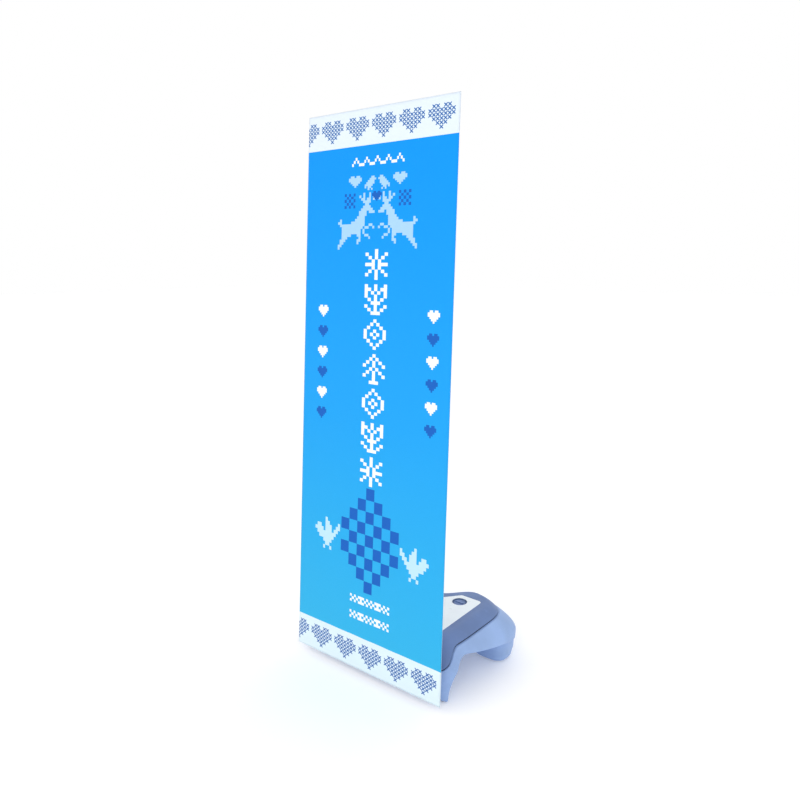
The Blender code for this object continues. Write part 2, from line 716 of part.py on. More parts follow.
def flex_spring():
    """A round-wire coil."""
    per_turn = 11
    radius = SPRING_OUTER - SPRING_WIRE / 2
    curve = bpy.data.curves.new("flex_spring", "CURVE")
    curve.dimensions = "3D"
    curve.bevel_depth = SPRING_WIRE / 2
    curve.bevel_resolution = 2
    curve.use_fill_caps = True
    count = SPRING_TURNS * per_turn + 1
    spline = curve.splines.new("POLY")
    spline.points.add(count - 1)
    for k, point in enumerate(spline.points):
        angle = 2 * pi * k / per_turn
        height = SPRING_START + SPRING_WIRE / 2 + SPRING_PITCH * k / per_turn
        point.co = (radius * cos(angle), radius * sin(angle), height, 1)
    curve.materials.append(SPRING_STEEL)
    made = bpy.data.objects.new("flex_spring", curve)
    PARTS.objects.link(made)
    made.parent = LEANING


LEVER_Y = LOWER_TUBE_RADIUS + 0.016
LEVER_Z = COLLAR_START + COLLAR_HEIGHT / 2
LEVER_PIN = 0.0022
LEVER_HALF = 0.0055


def clamp():
    """Collar at the top of the lower tube, with a cam lever behind it."""
    top = COLLAR_START + COLLAR_HEIGHT
    outer = LOWER_TUBE_RADIUS + 0.007
    profile = [
        (outer - 0.002, top),
        (outer, top - 0.002),
        (outer, COLLAR_START + 0.002),
        (outer - 0.002, COLLAR_START),
        (LOWER_TUBE_RADIUS + GAP, COLLAR_START),
        (LOWER_TUBE_RADIUS + GAP, LOWER_TUBE_TOP + GAP),
        (UPPER_TUBE_RADIUS + RUNNING, LOWER_TUBE_TOP + GAP),
        (UPPER_TUBE_RADIUS + RUNNING, top),
    ]
    collar = turned("clamp_collar", profile, BLACK_PLASTIC, parent=LEANING)
    at = {"parent": LEANING, "location": (0, LEVER_Y, LEVER_Z)}
    reach = LEVER_Y - outer + 0.003
    for side in (1, -1):
        centre = (side * (LEVER_HALF + GAP + 0.0025), -reach / 2 + 0.0045, 0)
        ear = box(f"ear_{side + 1}", (0.005, reach + 0.005, 0.020), centre=centre, **at)
        join(collar, ear)
    turn_to_x = {"parent": LEANING, "location": (0, LEVER_Y, LEVER_Z), "rotation": (0, pi / 2, 0)}
    cut(collar, disc("ear_hole", LEVER_PIN + GAP, -0.02, 0.02, steps=16, **turn_to_x))
    disc("lever_pin", LEVER_PIN, -0.0115, 0.0115, ZINC_STEEL, steps=16, **turn_to_x)
    lever = disc("clamp_lever", 0.0068, -LEVER_HALF, LEVER_HALF, BLACK_PLASTIC, steps=24, **turn_to_x)
    blade = box("lever_blade", (2 * LEVER_HALF, 0.0055, 0.058), centre=(0, 0.0035, -0.029), **at)
    join(lever, blade)
    cut(lever, disc("lever_hole", LEVER_PIN + GAP, -0.02, 0.02, steps=16, **turn_to_x))


def mast_tubes():
    lower, upper, on_mast = LOWER_TUBE_RADIUS, UPPER_TUBE_RADIUS, {"parent": LEANING}
    top = LOWER_TUBE_TOP
    ring("mast_tube_lower", lower, LOWER_TUBE_BORE, LOWER_TUBE_START, top, ALUMINIUM, **on_mast)
    ring("mast_tube_upper", upper, UPPER_TUBE_BORE, BUSH_START + 0.003, UPPER_TUBE_TOP, ALUMINIUM, **on_mast)
    guide = LOWER_TUBE_BORE - GAP
    ring("guide_bush", guide, upper + GAP, top - 0.022, top - 0.002, BLACK_PLASTIC, **on_mast)
    slider = LOWER_TUBE_BORE - RUNNING
    profile = [
        (0.0, BUSH_START + BUSH_HEIGHT),
        (UPPER_TUBE_BORE - GAP, BUSH_START + BUSH_HEIGHT),
        (UPPER_TUBE_BORE - GAP, BUSH_START + 0.003 - GAP),
        (slider, BUSH_START + 0.003 - GAP),
        (slider, BUSH_START - 0.006),
        (0.0, BUSH_START - 0.006),
    ]
    turned("mast_bush", profile, BLACK_PLASTIC, parent=LEANING)


# ---------------------------------------------------------------- hub and arms

TURN_TO_FRONT = (pi / 2, 0, 0)  # turns a piece's Z to -Y
HUB_BOTTOM = HUB - 0.045


def hub_housing():
    height = HUB + 0.024 - HUB_BOTTOM
    centre = (0, (HOUSING_FRONT + HOUSING_BACK) / 2, HUB_BOTTOM + height / 2)
    size = (0.046, HOUSING_BACK - HOUSING_FRONT, height)
    housing = box("hub_housing", size, BLACK_PLASTIC, centre=centre, bevel=0.004, parent=LEANING)
    bore = UPPER_TUBE_RADIUS + GAP
    cut(housing, disc("hub_bore", bore, HUB_BOTTOM - 0.01, UPPER_TUBE_TOP + GAP, parent=LEANING))
    pivot = {"parent": LEANING, "location": (0, 0, HUB), "rotation": TURN_TO_FRONT}
    cut(housing, disc("pivot_hole", BOLT_RADIUS + GAP, -0.05, 0.1, steps=20, **pivot))


def pivot_bolt():
    """Cap-head bolt from the front through both arm hubs and the housing, and the knob on its end."""
    pivot = {"parent": LEANING, "location": (0, 0, HUB), "rotation": TURN_TO_FRONT}
    head = -FRONT_ROTOR + ROTOR_THICKNESS / 2 + GAP
    tail = -HOUSING_BACK - 0.014
    profile = [
        (0.0, head + 0.005),
        (0.0085, head + 0.005),
        (0.0100, head + 0.0035),
        (0.0100, head),
        (BOLT_RADIUS, head),
        (BOLT_RADIUS, tail),
        (0.0, tail),
    ]
    turned("pivot_bolt", profile, ZINC_STEEL, **pivot)
    near, far = -HOUSING_BACK - GAP, -HOUSING_BACK - 0.019
    bore_end = tail - GAP
    profile = [
        (0.0, bore_end),
        (BOLT_RADIUS + GAP, bore_end),
        (BOLT_RADIUS + GAP, near),
        (0.0160, near),
        (0.0175, near - 0.002),
        (0.0175, far + 0.002),
        (0.0160, far),
        (0.0, far),
    ]
    knob = turned("hub_knob", profile, BLACK_PLASTIC, steps=30, **pivot)
    for k in range(5):
        angle = 2 * pi * k / 5
        x, z = 0.0215 * cos(angle), HUB + 0.0215 * sin(angle)
        spot = {"parent": LEANING, "location": (x, 0, z), "rotation": TURN_TO_FRONT}
        cut(knob, disc(f"knob_scallop_{k + 1}", 0.0065, -0.05, -0.01, steps=12, **spot))


def arm_hub(name, depth, directions):
    """A disc on the pivot with one tubular socket for each of its two arms."""
    pivot = {"parent": LEANING, "location": (0, 0, HUB), "rotation": TURN_TO_FRONT}
    half = ROTOR_THICKNESS / 2
    rotor = disc(name, ROTOR_RADIUS, -depth - half, -depth + half, BLACK_PLASTIC, steps=28, **pivot)
    for label, frame in directions:
        along = {"steps": 16, "parent": frame}
        start, end = ARM_SOCKET_START, ARM_SOCKET_END
        join(rotor, disc(f"{name}_socket_{label}", ARM_SOCKET_RADIUS, start, end, **along))
        bore = ARM_TUBE_RADIUS + GAP
        cut(rotor, disc(f"{name}_bore_{label}", bore, ARM_TUBE_START - GAP, 0.1, **along))
    cut(rotor, disc(f"{name}_hole", BOLT_RADIUS + GAP, -0.05, 0.1, steps=20, **pivot))


def arm(label, depth, angle):
    """Outer tube, twist lock, sliding rod and tip of one arm; returns the arm's frame."""
    cant = arm_cant(depth)
    at_rim = depth + ROTOR_RADIUS * tan(cant)
    frame = empty(f"arm_frame_{label}", LEANING, (0, at_rim, HUB), (cant, angle, 0))
    length = ARM_REACH / cos(cant)
    ring(
        f"arm_tube_{label}",
        ARM_TUBE_RADIUS,
        ARM_TUBE_RADIUS - ARM_TUBE_WALL,
        ARM_TUBE_START,
        ARM_TUBE_END,
        ALUMINIUM,
        steps=16,
        parent=frame,
    )
    lock_low, lock_high = ARM_TUBE_END - 0.024, ARM_TUBE_END - 0.024 + LOCK_LENGTH
    profile = [
        (LOCK_RADIUS - 0.003, lock_high),
        (LOCK_RADIUS, lock_high - 0.008),
        (LOCK_RADIUS, lock_low + 0.002),
        (LOCK_RADIUS - 0.0015, lock_low),
        (ARM_TUBE_RADIUS + GAP, lock_low),
        (ARM_TUBE_RADIUS + GAP, ARM_TUBE_END + GAP),
        (ROD_RADIUS + GAP, ARM_TUBE_END + GAP),
        (ROD_RADIUS + GAP, lock_high),
    ]
    turned(f"twist_lock_{label}", profile, BLACK_PLASTIC, steps=14, parent=frame)
    rod_end = length - 0.004
    disc(f"arm_rod_{label}", ROD_RADIUS, ROD_START, rod_end, FIBREGLASS, steps=12, parent=frame)
    profile = [
        (0.0, length),
        (TIP_RADIUS * 0.6, length),
        (TIP_RADIUS, length - 0.0025),
        (TIP_RADIUS, length - TIP_LENGTH),
        (ROD_RADIUS + GAP, length - TIP_LENGTH),
        (ROD_RADIUS + GAP, rod_end + GAP),
        (0.0, rod_end + GAP),
    ]
    turned(f"arm_tip_{label}", profile, BLACK_PLASTIC, steps=14, parent=frame)
    return label, frame


def arms():
    """The front hub carries the arms to the upper right and lower left; the rear hub the other two."""
    front = (
        arm("upper_right", FRONT_ROTOR, ARM_ANGLE),
        arm("lower_left", FRONT_ROTOR, pi + ARM_ANGLE),
    )
    rear = (
        arm("upper_left", REAR_ROTOR, -ARM_ANGLE),
        arm("lower_right", REAR_ROTOR, pi - ARM_ANGLE),
    )
    arm_hub("arm_hub_front", FRONT_ROTOR, front)
    arm_hub("arm_hub_rear", REAR_ROTOR, rear)


# ---------------------------------------------------------------- sheet and pockets


def banner_sheet():
    centre = (0, -MAST_STANDOFF + SHEET_THICKNESS / 2, HUB)
    size = (SHEET_WIDTH, SHEET_THICKNESS, SHEET_HEIGHT)
    box("banner_sheet", size, SHEET_FABRIC, centre=centre, parent=LEANING)


def corner_pocket(label, side, end):
    """A three-cornered pocket behind a corner of the sheet, open towards the hub and deeper there."""
    front = -MAST_STANDOFF + SHEET_THICKNESS + GAP
    room = 2 * (TIP_RADIUS + GAP)
    slope = tan(arm_cant(REAR_ROTOR))
    corner = (side * SHEET_WIDTH / 2, front, HUB + end * SHEET_HEIGHT / 2)
    frame = empty(f"pocket_frame_{label}", LEANING, corner)

    def prism(name, edge, near, far, finish=None, extra=0.0):
        """The pocket's outline between two depths behind its front."""
        width, height, blunt = POCKET_WIDTH + extra, POCKET_HEIGHT + extra, POCKET_BLUNT + extra
        points = [(edge, edge), (width, edge), (width, blunt), (blunt, height), (edge, height)]
        rings = []
        for depth, lean in ((near, 0.0), (far, slope)):
            rings.append([(-side * x, depth + lean * (y - TIP_INSET_Z), -end * y) for x, y in points])
        made = loft(name, rings, finish)
        made.parent = frame
        return made

    pocket = prism(f"corner_pocket_{label}", 0.0, 0.0, room + POCKET_WALL, POCKET_FABRIC)
    cut(pocket, prism(f"pocket_room_{label}", POCKET_HEM, -0.01, room, None, 0.04))


# ---------------------------------------------------------------- assembly

tank_body()
top_cover()
panels()
fill_cap()
drain_plug()
foot_pads()
mast_socket()
spring_plugs()
flex_spring()
mast_tubes()
clamp()
hub_housing()
pivot_bolt()
arms()
banner_sheet()
for vertical, end in (("upper", 1), ("lower", -1)):
    for horizontal, side in (("right", 1), ("left", -1)):
        corner_pocket(f"{vertical}_{horizontal}", side, end)

for made in PARTS.objects:
    if made.type == "MESH":
        made.data.shade_smooth()
        made.data.set_sharp_from_angle(angle=radians(35))
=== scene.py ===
"""Looks of the X banner stand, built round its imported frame.

The sheet is one mesh whose faces follow the cells of its cross-stitch print, so every ink has a crisp
edge and its own material. The base's shells repeat the design's outlines with finer steps. Metres.
"""

from math import asin, atan2, cos, floor, hypot, pi, radians, sin, tan

import bmesh
import bpy
from mathutils import Matrix, Vector


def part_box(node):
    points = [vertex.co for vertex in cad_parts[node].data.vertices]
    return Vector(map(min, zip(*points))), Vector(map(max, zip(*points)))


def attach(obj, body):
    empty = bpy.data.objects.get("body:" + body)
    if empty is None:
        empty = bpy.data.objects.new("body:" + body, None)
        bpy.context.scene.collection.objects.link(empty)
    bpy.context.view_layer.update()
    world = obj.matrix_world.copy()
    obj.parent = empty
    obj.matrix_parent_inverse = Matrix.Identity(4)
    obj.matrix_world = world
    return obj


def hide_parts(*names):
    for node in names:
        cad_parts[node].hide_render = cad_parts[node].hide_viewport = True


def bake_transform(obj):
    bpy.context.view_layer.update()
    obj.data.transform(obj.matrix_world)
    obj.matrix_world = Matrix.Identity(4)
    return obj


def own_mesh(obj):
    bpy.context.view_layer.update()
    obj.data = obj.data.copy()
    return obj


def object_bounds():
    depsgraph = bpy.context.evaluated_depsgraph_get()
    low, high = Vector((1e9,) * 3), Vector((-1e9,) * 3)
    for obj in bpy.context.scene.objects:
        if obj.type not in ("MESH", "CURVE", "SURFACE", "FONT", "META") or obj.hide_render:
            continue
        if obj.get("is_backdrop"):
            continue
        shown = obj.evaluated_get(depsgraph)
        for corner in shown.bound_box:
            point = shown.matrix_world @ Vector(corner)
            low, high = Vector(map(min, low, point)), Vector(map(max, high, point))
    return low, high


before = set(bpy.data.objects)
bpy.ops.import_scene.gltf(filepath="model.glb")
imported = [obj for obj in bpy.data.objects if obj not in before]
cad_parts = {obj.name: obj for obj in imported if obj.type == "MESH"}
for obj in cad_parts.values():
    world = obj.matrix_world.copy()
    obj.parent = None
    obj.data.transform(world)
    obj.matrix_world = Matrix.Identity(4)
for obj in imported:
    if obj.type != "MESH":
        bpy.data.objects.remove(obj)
cad_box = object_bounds()

# ---------------------------------------- sizes that the design repeats

SHEET_WIDTH = 0.610
SHEET_HEIGHT = 1.830
SHEET_THICKNESS = 0.0008
LEAN = radians(2.7)
SHEET_FRONT, SHEET_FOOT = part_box("banner_sheet")[0][1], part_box("banner_sheet")[0][2]
MAST_STANDOFF = 0.115
UP_SHEET = Vector((0, sin(LEAN), cos(LEAN)))
BEHIND_SHEET = Vector((0, cos(LEAN), -sin(LEAN)))

# ---------------------------------------- material helpers


def linear(colour):
    """A 0-255 screen colour as linear light, with alpha."""
    shares = [channel / 255 for channel in colour]
    return (*[s / 12.92 if s <= 0.04045 else ((s + 0.055) / 1.055) ** 2.4 for s in shares], 1.0)


class Finish:
    """A Principled material and the few node patterns that its parts share."""

    def __init__(self, name, colour, roughness, metallic=0.0, **sockets):
        self.material = bpy.data.materials.new(name)
        self.material.use_nodes = True
        self.nodes = self.material.node_tree.nodes
        self.links = self.material.node_tree.links
        self.shader = self.nodes["Principled BSDF"]
        self.colour = linear(colour)
        self.set(self.shader, **{"Base Color": self.colour, "Roughness": roughness, "Metallic": metallic})
        self.set(self.shader, **{key.replace("_", " "): value for key, value in sockets.items()})

    def set(self, node, **values):
        for socket, value in values.items():
            node.inputs[socket].default_value = value

    def node(self, kind, **settings):
        made = self.nodes.new(kind)
        for key, value in settings.items():
            setattr(made, key, value)
        return made

    def join(self, source, target):
        self.links.new(source, target)
        return target

    def coordinates(self, space="Object"):
        return self.node("ShaderNodeTexCoord").outputs[space]

    def uv(self, layer):
        return self.node("ShaderNodeUVMap", uv_map=layer).outputs["UV"]

    def noise(self, scale, detail=2.0, stretch=(1, 1, 1), vector=None):
        mapping = self.node("ShaderNodeMapping")
        mapping.inputs["Scale"].default_value = stretch
        self.join(vector or self.coordinates(), mapping.inputs["Vector"])
        made = self.node("ShaderNodeTexNoise")
        self.set(made, Scale=scale, Detail=detail)
        self.join(mapping.outputs["Vector"], made.inputs["Vector"])
        return made.outputs["Fac"]

    def math(self, operation, first, second=None):
        made = self.node("ShaderNodeMath", operation=operation)
        for socket, value in zip(made.inputs, (first, second)):
            if isinstance(value, (int, float)):
                socket.default_value = value
            elif value is not None:
                self.join(value, socket)
        return made.outputs[0]

    def range(self, value, low, high, to_low, to_high):
        made = self.node("ShaderNodeMapRange")
        for socket, number in zip(list(made.inputs)[1:5], (low, high, to_low, to_high)):
            socket.default_value = number
        self.join(value, made.inputs["Value"])
        return made.outputs["Result"]

    def spread(self, noise, to_low, to_high):
        """A noise, most of which lies between 0.3 and 0.7, spread over a range."""
        return self.range(noise, 0.3, 0.7, to_low, to_high)

    def mix(self, factor, first, second, **settings):
        """Two colours, each a colour or a socket, mixed by a socket."""
        made = self.node("ShaderNodeMix", data_type="RGBA", **settings)
        self.join(factor, made.inputs["Factor"])
        for socket, value in ((made.inputs[6], first), (made.inputs[7], second)):
            if isinstance(value, tuple):
                socket.default_value = value
            else:
                self.join(value, socket)
        return made.outputs[2]

    def paint(self, colour):
        self.join(colour, self.shader.inputs["Base Color"])

    def rough(self, value):
        self.join(value, self.shader.inputs["Roughness"])

    def bump(self, height, distance, strength=1.0):
        """Adds a bump on top of the ones before it."""
        made = self.node("ShaderNodeBump")
        self.set(made, Distance=distance, Strength=strength)
        self.join(height, made.inputs["Height"])
        normal = self.shader.inputs["Normal"]
        if normal.is_linked:
            self.join(normal.links[0].from_socket, made.inputs["Normal"])
        self.join(made.outputs["Normal"], normal)


def shade(colour, factor):
    """A screen colour made lighter or darker."""
    return tuple(min(255, channel * factor) for channel in colour)


# ---------------------------------------- plastics, metals and rubber


def moulded(name, colour, roughness=0.42, grain=1.0, variation=0.05):
    """Moulded polyethylene: a fine pebbled skin, faint flow marks and light scuffs."""
    made = Finish(name, colour, roughness, Specular_IOR_Level=0.30)
    broad = made.noise(scale=7.0, detail=3.0)
    light, dark = linear(shade(colour, 1 + variation)), linear(shade(colour, 1 - variation))
    toned = made.mix(made.spread(broad, 0, 1), dark, light)
    scuffs = made.range(made.noise(scale=38.0, detail=6.0, stretch=(1, 1, 3.5)), 0.62, 0.72, 0, 0.16)
    made.paint(made.mix(scuffs, toned, linear(shade(colour, 1.22))))
    made.rough(made.spread(made.noise(scale=60.0, detail=4.0), roughness - 0.05, roughness + 0.10))
    made.bump(made.noise(scale=900.0), distance=0.00025 * grain, strength=0.55)
    made.bump(made.noise(scale=26.0), distance=0.0012 * grain, strength=0.22)
    return made.material


def brushed(name, colour, roughness, along=(60, 60, 1)):
    """Drawn or turned metal, with fine lines along one way."""
    made = Finish(name, colour, roughness, 1.0)
    lines = made.noise(scale=28.0, detail=4.0, stretch=along)
    made.paint(made.mix(lines, linear(shade(colour, 0.86)), linear(shade(colour, 1.08))))
    made.rough(made.spread(lines, roughness - 0.07, roughness + 0.10))
    made.bump(lines, distance=0.00008, strength=0.35)
    return made.material


def black_nylon(name):
    """Glass-filled nylon with a spark-eroded skin."""
    made = Finish(name, (36, 38, 43), 0.48)
    specks = made.noise(scale=420.0, detail=3.0)
    made.paint(made.mix(specks, linear((30, 32, 36)), linear((46, 48, 54))))
    made.rough(made.spread(specks, 0.42, 0.60))
    made.bump(specks, distance=0.0003, strength=0.5)
    return made.material


def rubber(name):
    """Dull black rubber with an uneven skin."""
    made = Finish(name, (28, 29, 31), 0.78)
    grain = made.noise(scale=260.0, detail=4.0)
    made.paint(made.mix(grain, linear((22, 23, 25)), linear((40, 41, 43))))
    made.bump(grain, distance=0.0003, strength=0.5)
    return made.material


def fibreglass(name):
    """Pale rod with lengthwise glass strands under a resin gloss."""
    made = Finish(name, (226, 226, 220), 0.34, Coat_Weight=0.25, Coat_Roughness=0.15)
    strands = made.noise(scale=45.0, detail=5.0, stretch=(90, 90, 1.2))
    made.paint(made.mix(strands, linear((206, 207, 200)), linear((240, 240, 236))))
    made.bump(strands, distance=0.0001, strength=0.4)
    return made.material


TANK = moulded("tank_plastic", (148, 176, 222), 0.42)
COVER = moulded("cover_plastic", (102, 127, 175), 0.40)
PANEL = moulded("panel_plastic", (240, 248, 254), 0.30, 0.4, 0.015)
CAP = moulded("cap_plastic", (110, 133, 180), 0.40, 0.6)
NYLON = black_nylon("black_nylon")
RUBBER = rubber("seal_rubber")
SPRING = brushed("spring_steel", (168, 172, 178), 0.26, (30, 30, 30))
ZINC = brushed("zinc_steel", (190, 193, 198), 0.30, (20, 20, 20))
ALUMINIUM = brushed("anodised_aluminium", (200, 203, 208), 0.33)
GLASS_ROD = fibreglass("fibreglass")

# ---------------------------------------- cloth

STITCH_LAYER = "cell"
THREAD = 0.0011  # pitch of the weave
CROSS_ARM, CROSS_REACH = (0.16, 0.22), (0.45, 0.49)  # where a cross-stitch fades out, as shares of its cell
THREAD_SHADOW, SLUB_SHADOW = 0.05, 0.035
SHADOW_INK = (0.35, 0.38, 0.45, 1)


def cloth(name, colour, stops=(), stitched=None, roughness=0.68):
    """Woven polyester. The sheet's UV is in metres from its top left corner; stops fade ink down it."""
    made = Finish(name, colour, roughness, Sheen_Weight=0.03, Sheen_Roughness=0.5, Specular_IOR_Level=0.12)
    place = made.node("ShaderNodeSeparateXYZ")
    made.join(made.uv("UVMap"), place.inputs[0])
    across, down = place.outputs[0], place.outputs[1]
    ink = made.colour
    if stops:
        ramp = made.node("ShaderNodeValToRGB")
        marks = ramp.color_ramp.elements
        for k, (share, tone) in enumerate(stops):
            mark = marks[k] if k < 2 else marks.new(share)
            mark.position = share
            mark.color = linear(tone)
        made.join(made.math("DIVIDE", down, SHEET_HEIGHT), ramp.inputs["Fac"])
        ink = ramp.outputs["Color"]
    if stitched:
        cell = made.node("ShaderNodeSeparateXYZ")
        made.join(made.uv(STITCH_LAYER), cell.inputs[0])
        reach = [made.math("ABSOLUTE", made.math("SUBTRACT", cell.outputs[k], 0.5)) for k in (0, 1)]
        off_cross = made.math("ABSOLUTE", made.math("SUBTRACT", *reach))
        within = made.math("MAXIMUM", *reach)
        in_arms, in_cell = made.range(off_cross, *CROSS_ARM, 1, 0), made.range(within, *CROSS_REACH, 1, 0)
        on_cross = made.math("MULTIPLY", in_arms, in_cell)
        ink = made.mix(on_cross, linear(stitched), ink)
    threads = [made.math("SINE", made.math("MULTIPLY", way, 2 * pi / THREAD)) for way in (across, down)]
    weave = made.math("MULTIPLY", *threads)
    slubs = made.noise(scale=55.0, detail=4.0, stretch=(1, 7, 1), vector=made.uv("UVMap"))
    shadow = made.math("ADD", made.range(weave, -1, 1, 0, THREAD_SHADOW), made.spread(slubs, 0, SLUB_SHADOW))
    made.paint(made.mix(shadow, ink, SHADOW_INK, blend_type="MULTIPLY"))
    made.bump(weave, distance=0.00018, strength=0.5)
    made.bump(slubs, distance=0.0004, strength=0.25)
    return made.material


BLUES = (
    (0.0, (4, 151, 252)),
    (1.0, (56, 186, 233)),
    (0.12, (8, 153, 252)),
    (0.55, (32, 165, 242)),
    (0.80, (46, 177, 236)),
)
WHITE_STOPS = ((0.0, (230, 241, 252)), (1.0, (229, 246, 252)))
INKS = {
    "ground": cloth("cloth_blue", (45, 168, 245), BLUES),
    "band": cloth("cloth_white", (230, 242, 252), WHITE_STOPS),
    "stitch": cloth("ink_stitch", (50, 106, 176), (), (228, 242, 251)),
    "white": cloth("ink_white", (248, 251, 253)),
    "deer": cloth("ink_pale", (172, 214, 249)),
    "bird": cloth("ink_sky", (196, 233, 251)),
    "dark": cloth("ink_dark", (26, 100, 192)),
}
BACK_CLOTH = cloth("cloth_back", (226, 236, 248))
POCKET_CLOTH = cloth("cloth_pocket", (228, 236, 248), roughness=0.74)
THREAD_CLOTH = cloth("sewing_thread", (246, 248, 252))

# ---------------------------------------- the print, as stitch charts

HEART = (".##.##.", "#######", "#######", ".#####.", "..###..", "...#...")
FLAKE = ("...#...", "#..#..#", ".#.#.#.", "..#.#..", "###.###", "..#.#..", ".#.#.#.", "#..#..#", "...#...")
LOZENGE = ("...#...", "..#.#..", ".#...#.", "#..#..#", "#.#.#.#", "#..#..#", ".#...#.", "..#.#..", "...#...")
PINE = ("...#...", "..#.#..", ".#.#.#.", "#..#..#", "..#.#..", ".#.#.#.", "#..#..#", "...#...", "..###..")
TULIP = ("#..#..#", "##.#.##", "#.#.#.#", "#..#..#", ".#.#.#.", "..###..", "#..#..#", ".#.#.#.", "..###..")
COLUMN = (FLAKE, TULIP, LOZENGE, PINE, LOZENGE, TULIP, FLAKE)
ORNAMENT = ("...#...", "..#.#..", ".#.#.#.", "#.#.#.#", ".#.#.#.", "#.#.#.#", ".#.#.#.", "..#.#..", "...#...")
CLOVER = ("#.#.#", ".#.#.", "#.#.#", ".#.#.", "#.#.#")
GARLAND = ("..#.....#.....#.....#.....#..", ".#.#...#.#...#.#...#.#...#.#.", "#...###...###...###...###...#")
RIBBON = ("#.#.###.#.#.###.#.#", ".#.#.#.#.#.#.#.#.#.", "#.#.###.#.#.###.#.#")
DOVE = (
    "......#.....",
    "#....##.....",
    "##..###..##.",
    ".##.###.####",
    "..#########.",
    "...#######..",
    "....####....",
    ".....##.....",
    "....#..#....",
)
WREN = ("....##.", "...####", "..####.", ".#####.", "#####..", "#.##...", "..#.#..")
DEER = (
    ".............#..#..",
    "...........#.#..#.#",
    "............##.##.#",
    ".............####..",
    "..............##...",
    ".............####..",
    "............######.",
    "...........####.###",
    "...........####....",
    "..........####.....",
    ".#.......#####.....",
    "##.....#######.....",
    ".#############..##.",
    "..###########.##..#",
    "..##########.#.....",
    "..##########.#.....",
    "..#####...##..##...",
    "..###......#....#..",
    ".###......##.......",
    ".##.......#........",
    "##.................",
    "#..................",
)


def mirrored(chart):
    return tuple(row[::-1] for row in chart)


def mark(chart, ink, u, v, width, height):
    """A chart centred at u, v as shares of the sheet, its size as shares too."""
    cell = (width * SHEET_WIDTH / len(chart[0]), height * SHEET_HEIGHT / len(chart))
    corner = (u * SHEET_WIDTH - cell[0] * len(chart[0]) / 2, v * SHEET_HEIGHT - cell[1] * len(chart) / 2)
    return {"chart": chart, "ink": ink, "cell": cell, "corner": corner}


TOP_BAND, BOTTOM_BAND = 0.0635, 0.940  # inner edges of the white bands, as shares of the height
CREST_U, COLUMN_U = 0.502, 0.510  # middles of the deer's group and of the column under it


def marks():
    """Every chart on the sheet; a later one lies over an earlier one."""
    found = []

    def add(*placed):
        found.append(mark(*placed))

    for k in range(6):
        for v in (0.0335, 0.9708):
            add(HEART, "stitch", 0.179 * k, v, 0.160, 0.0405)
    for k in range(6):
        v = 0.3545 + 0.0378 * k
        for u in (0.140, 0.886):
            add(HEART, "dark" if k % 2 else "white", u, v, 0.074, 0.0215)
    for k, chart in enumerate(COLUMN):
        add(chart, "white", COLUMN_U, 0.2695 + 0.0608 * k, 0.151, 0.053)
    add(GARLAND, "white", CREST_U, 0.091, 0.351, 0.015)
    for side, turned_chart in ((-1, DEER), (1, mirrored(DEER))):
        add(turned_chart, "deer", CREST_U + side * 0.140, 0.194, 0.255, 0.098)
        add(CLOVER, "dark", CREST_U + side * 0.185, 0.158, 0.078, 0.026)
        add(HEART, "deer", CREST_U + side * 0.150, 0.125, 0.090, 0.020)
        wren = WREN if side < 0 else mirrored(WREN)
        add(wren, "deer", CREST_U + side * 0.046, 0.129, 0.078, 0.024)
    add(HEART, "dark", CREST_U, 0.152, 0.066, 0.017)
    add(ORNAMENT, "dark", COLUMN_U, 0.760, 0.400, 0.190)
    add(mirrored(DOVE), "bird", 0.207, 0.768, 0.185, 0.060)
    add(DOVE, "bird", 0.812, 0.776, 0.185, 0.060)
    for v in (0.872, 0.902):
        add(RIBBON, "white", 0.524, v, 0.276, 0.014)
    return found


FACE_LEAST, FACE_LIMIT = 0.0011, 0.012  # shortest and longest side of a face of the sheet


def filled(breaks):
    """Break lines in order, any two nearer than the least taken as one, and more where a step is long."""
    found = sorted(breaks)
    lines = [found[0]]
    for line in found[1:-1]:
        if line - lines[-1] > FACE_LEAST and found[-1] - line > FACE_LEAST:
            lines.append(line)
    lines.append(found[-1])
    out = [lines[0]]
    for low, high in zip(lines, lines[1:]):
        steps = int((high - low) / FACE_LIMIT) + 1
        out.extend(low + (high - low) * step / steps for step in range(1, steps + 1))
    return out


SHEET_BOW = 0.0025  # how far the middle of the sheet sits back
WAVE_DEPTH, WAVE_COUNT = 0.0009, 11  # tension waves near the ends, counted as half waves


def sheet_point(u, v, back=0.0):
    """A point of the stretched sheet, u from its left edge and v down from its top, in metres."""
    a, b = u / SHEET_WIDTH, v / SHEET_HEIGHT
    across, down = [sin(pi * min(max(share, 0), 1)) for share in (a, b)]
    bow = SHEET_BOW * across * down
    near_ends = (abs(b - 0.5) * 2) ** 3
    pull = WAVE_DEPTH * sin(WAVE_COUNT * pi * a) * near_ends * across * (1 - near_ends**4)
    foot = Vector((u - SHEET_WIDTH / 2, SHEET_FRONT, SHEET_FOOT))
    return foot + UP_SHEET * (SHEET_HEIGHT - v) + BEHIND_SHEET * (bow + pull + back)


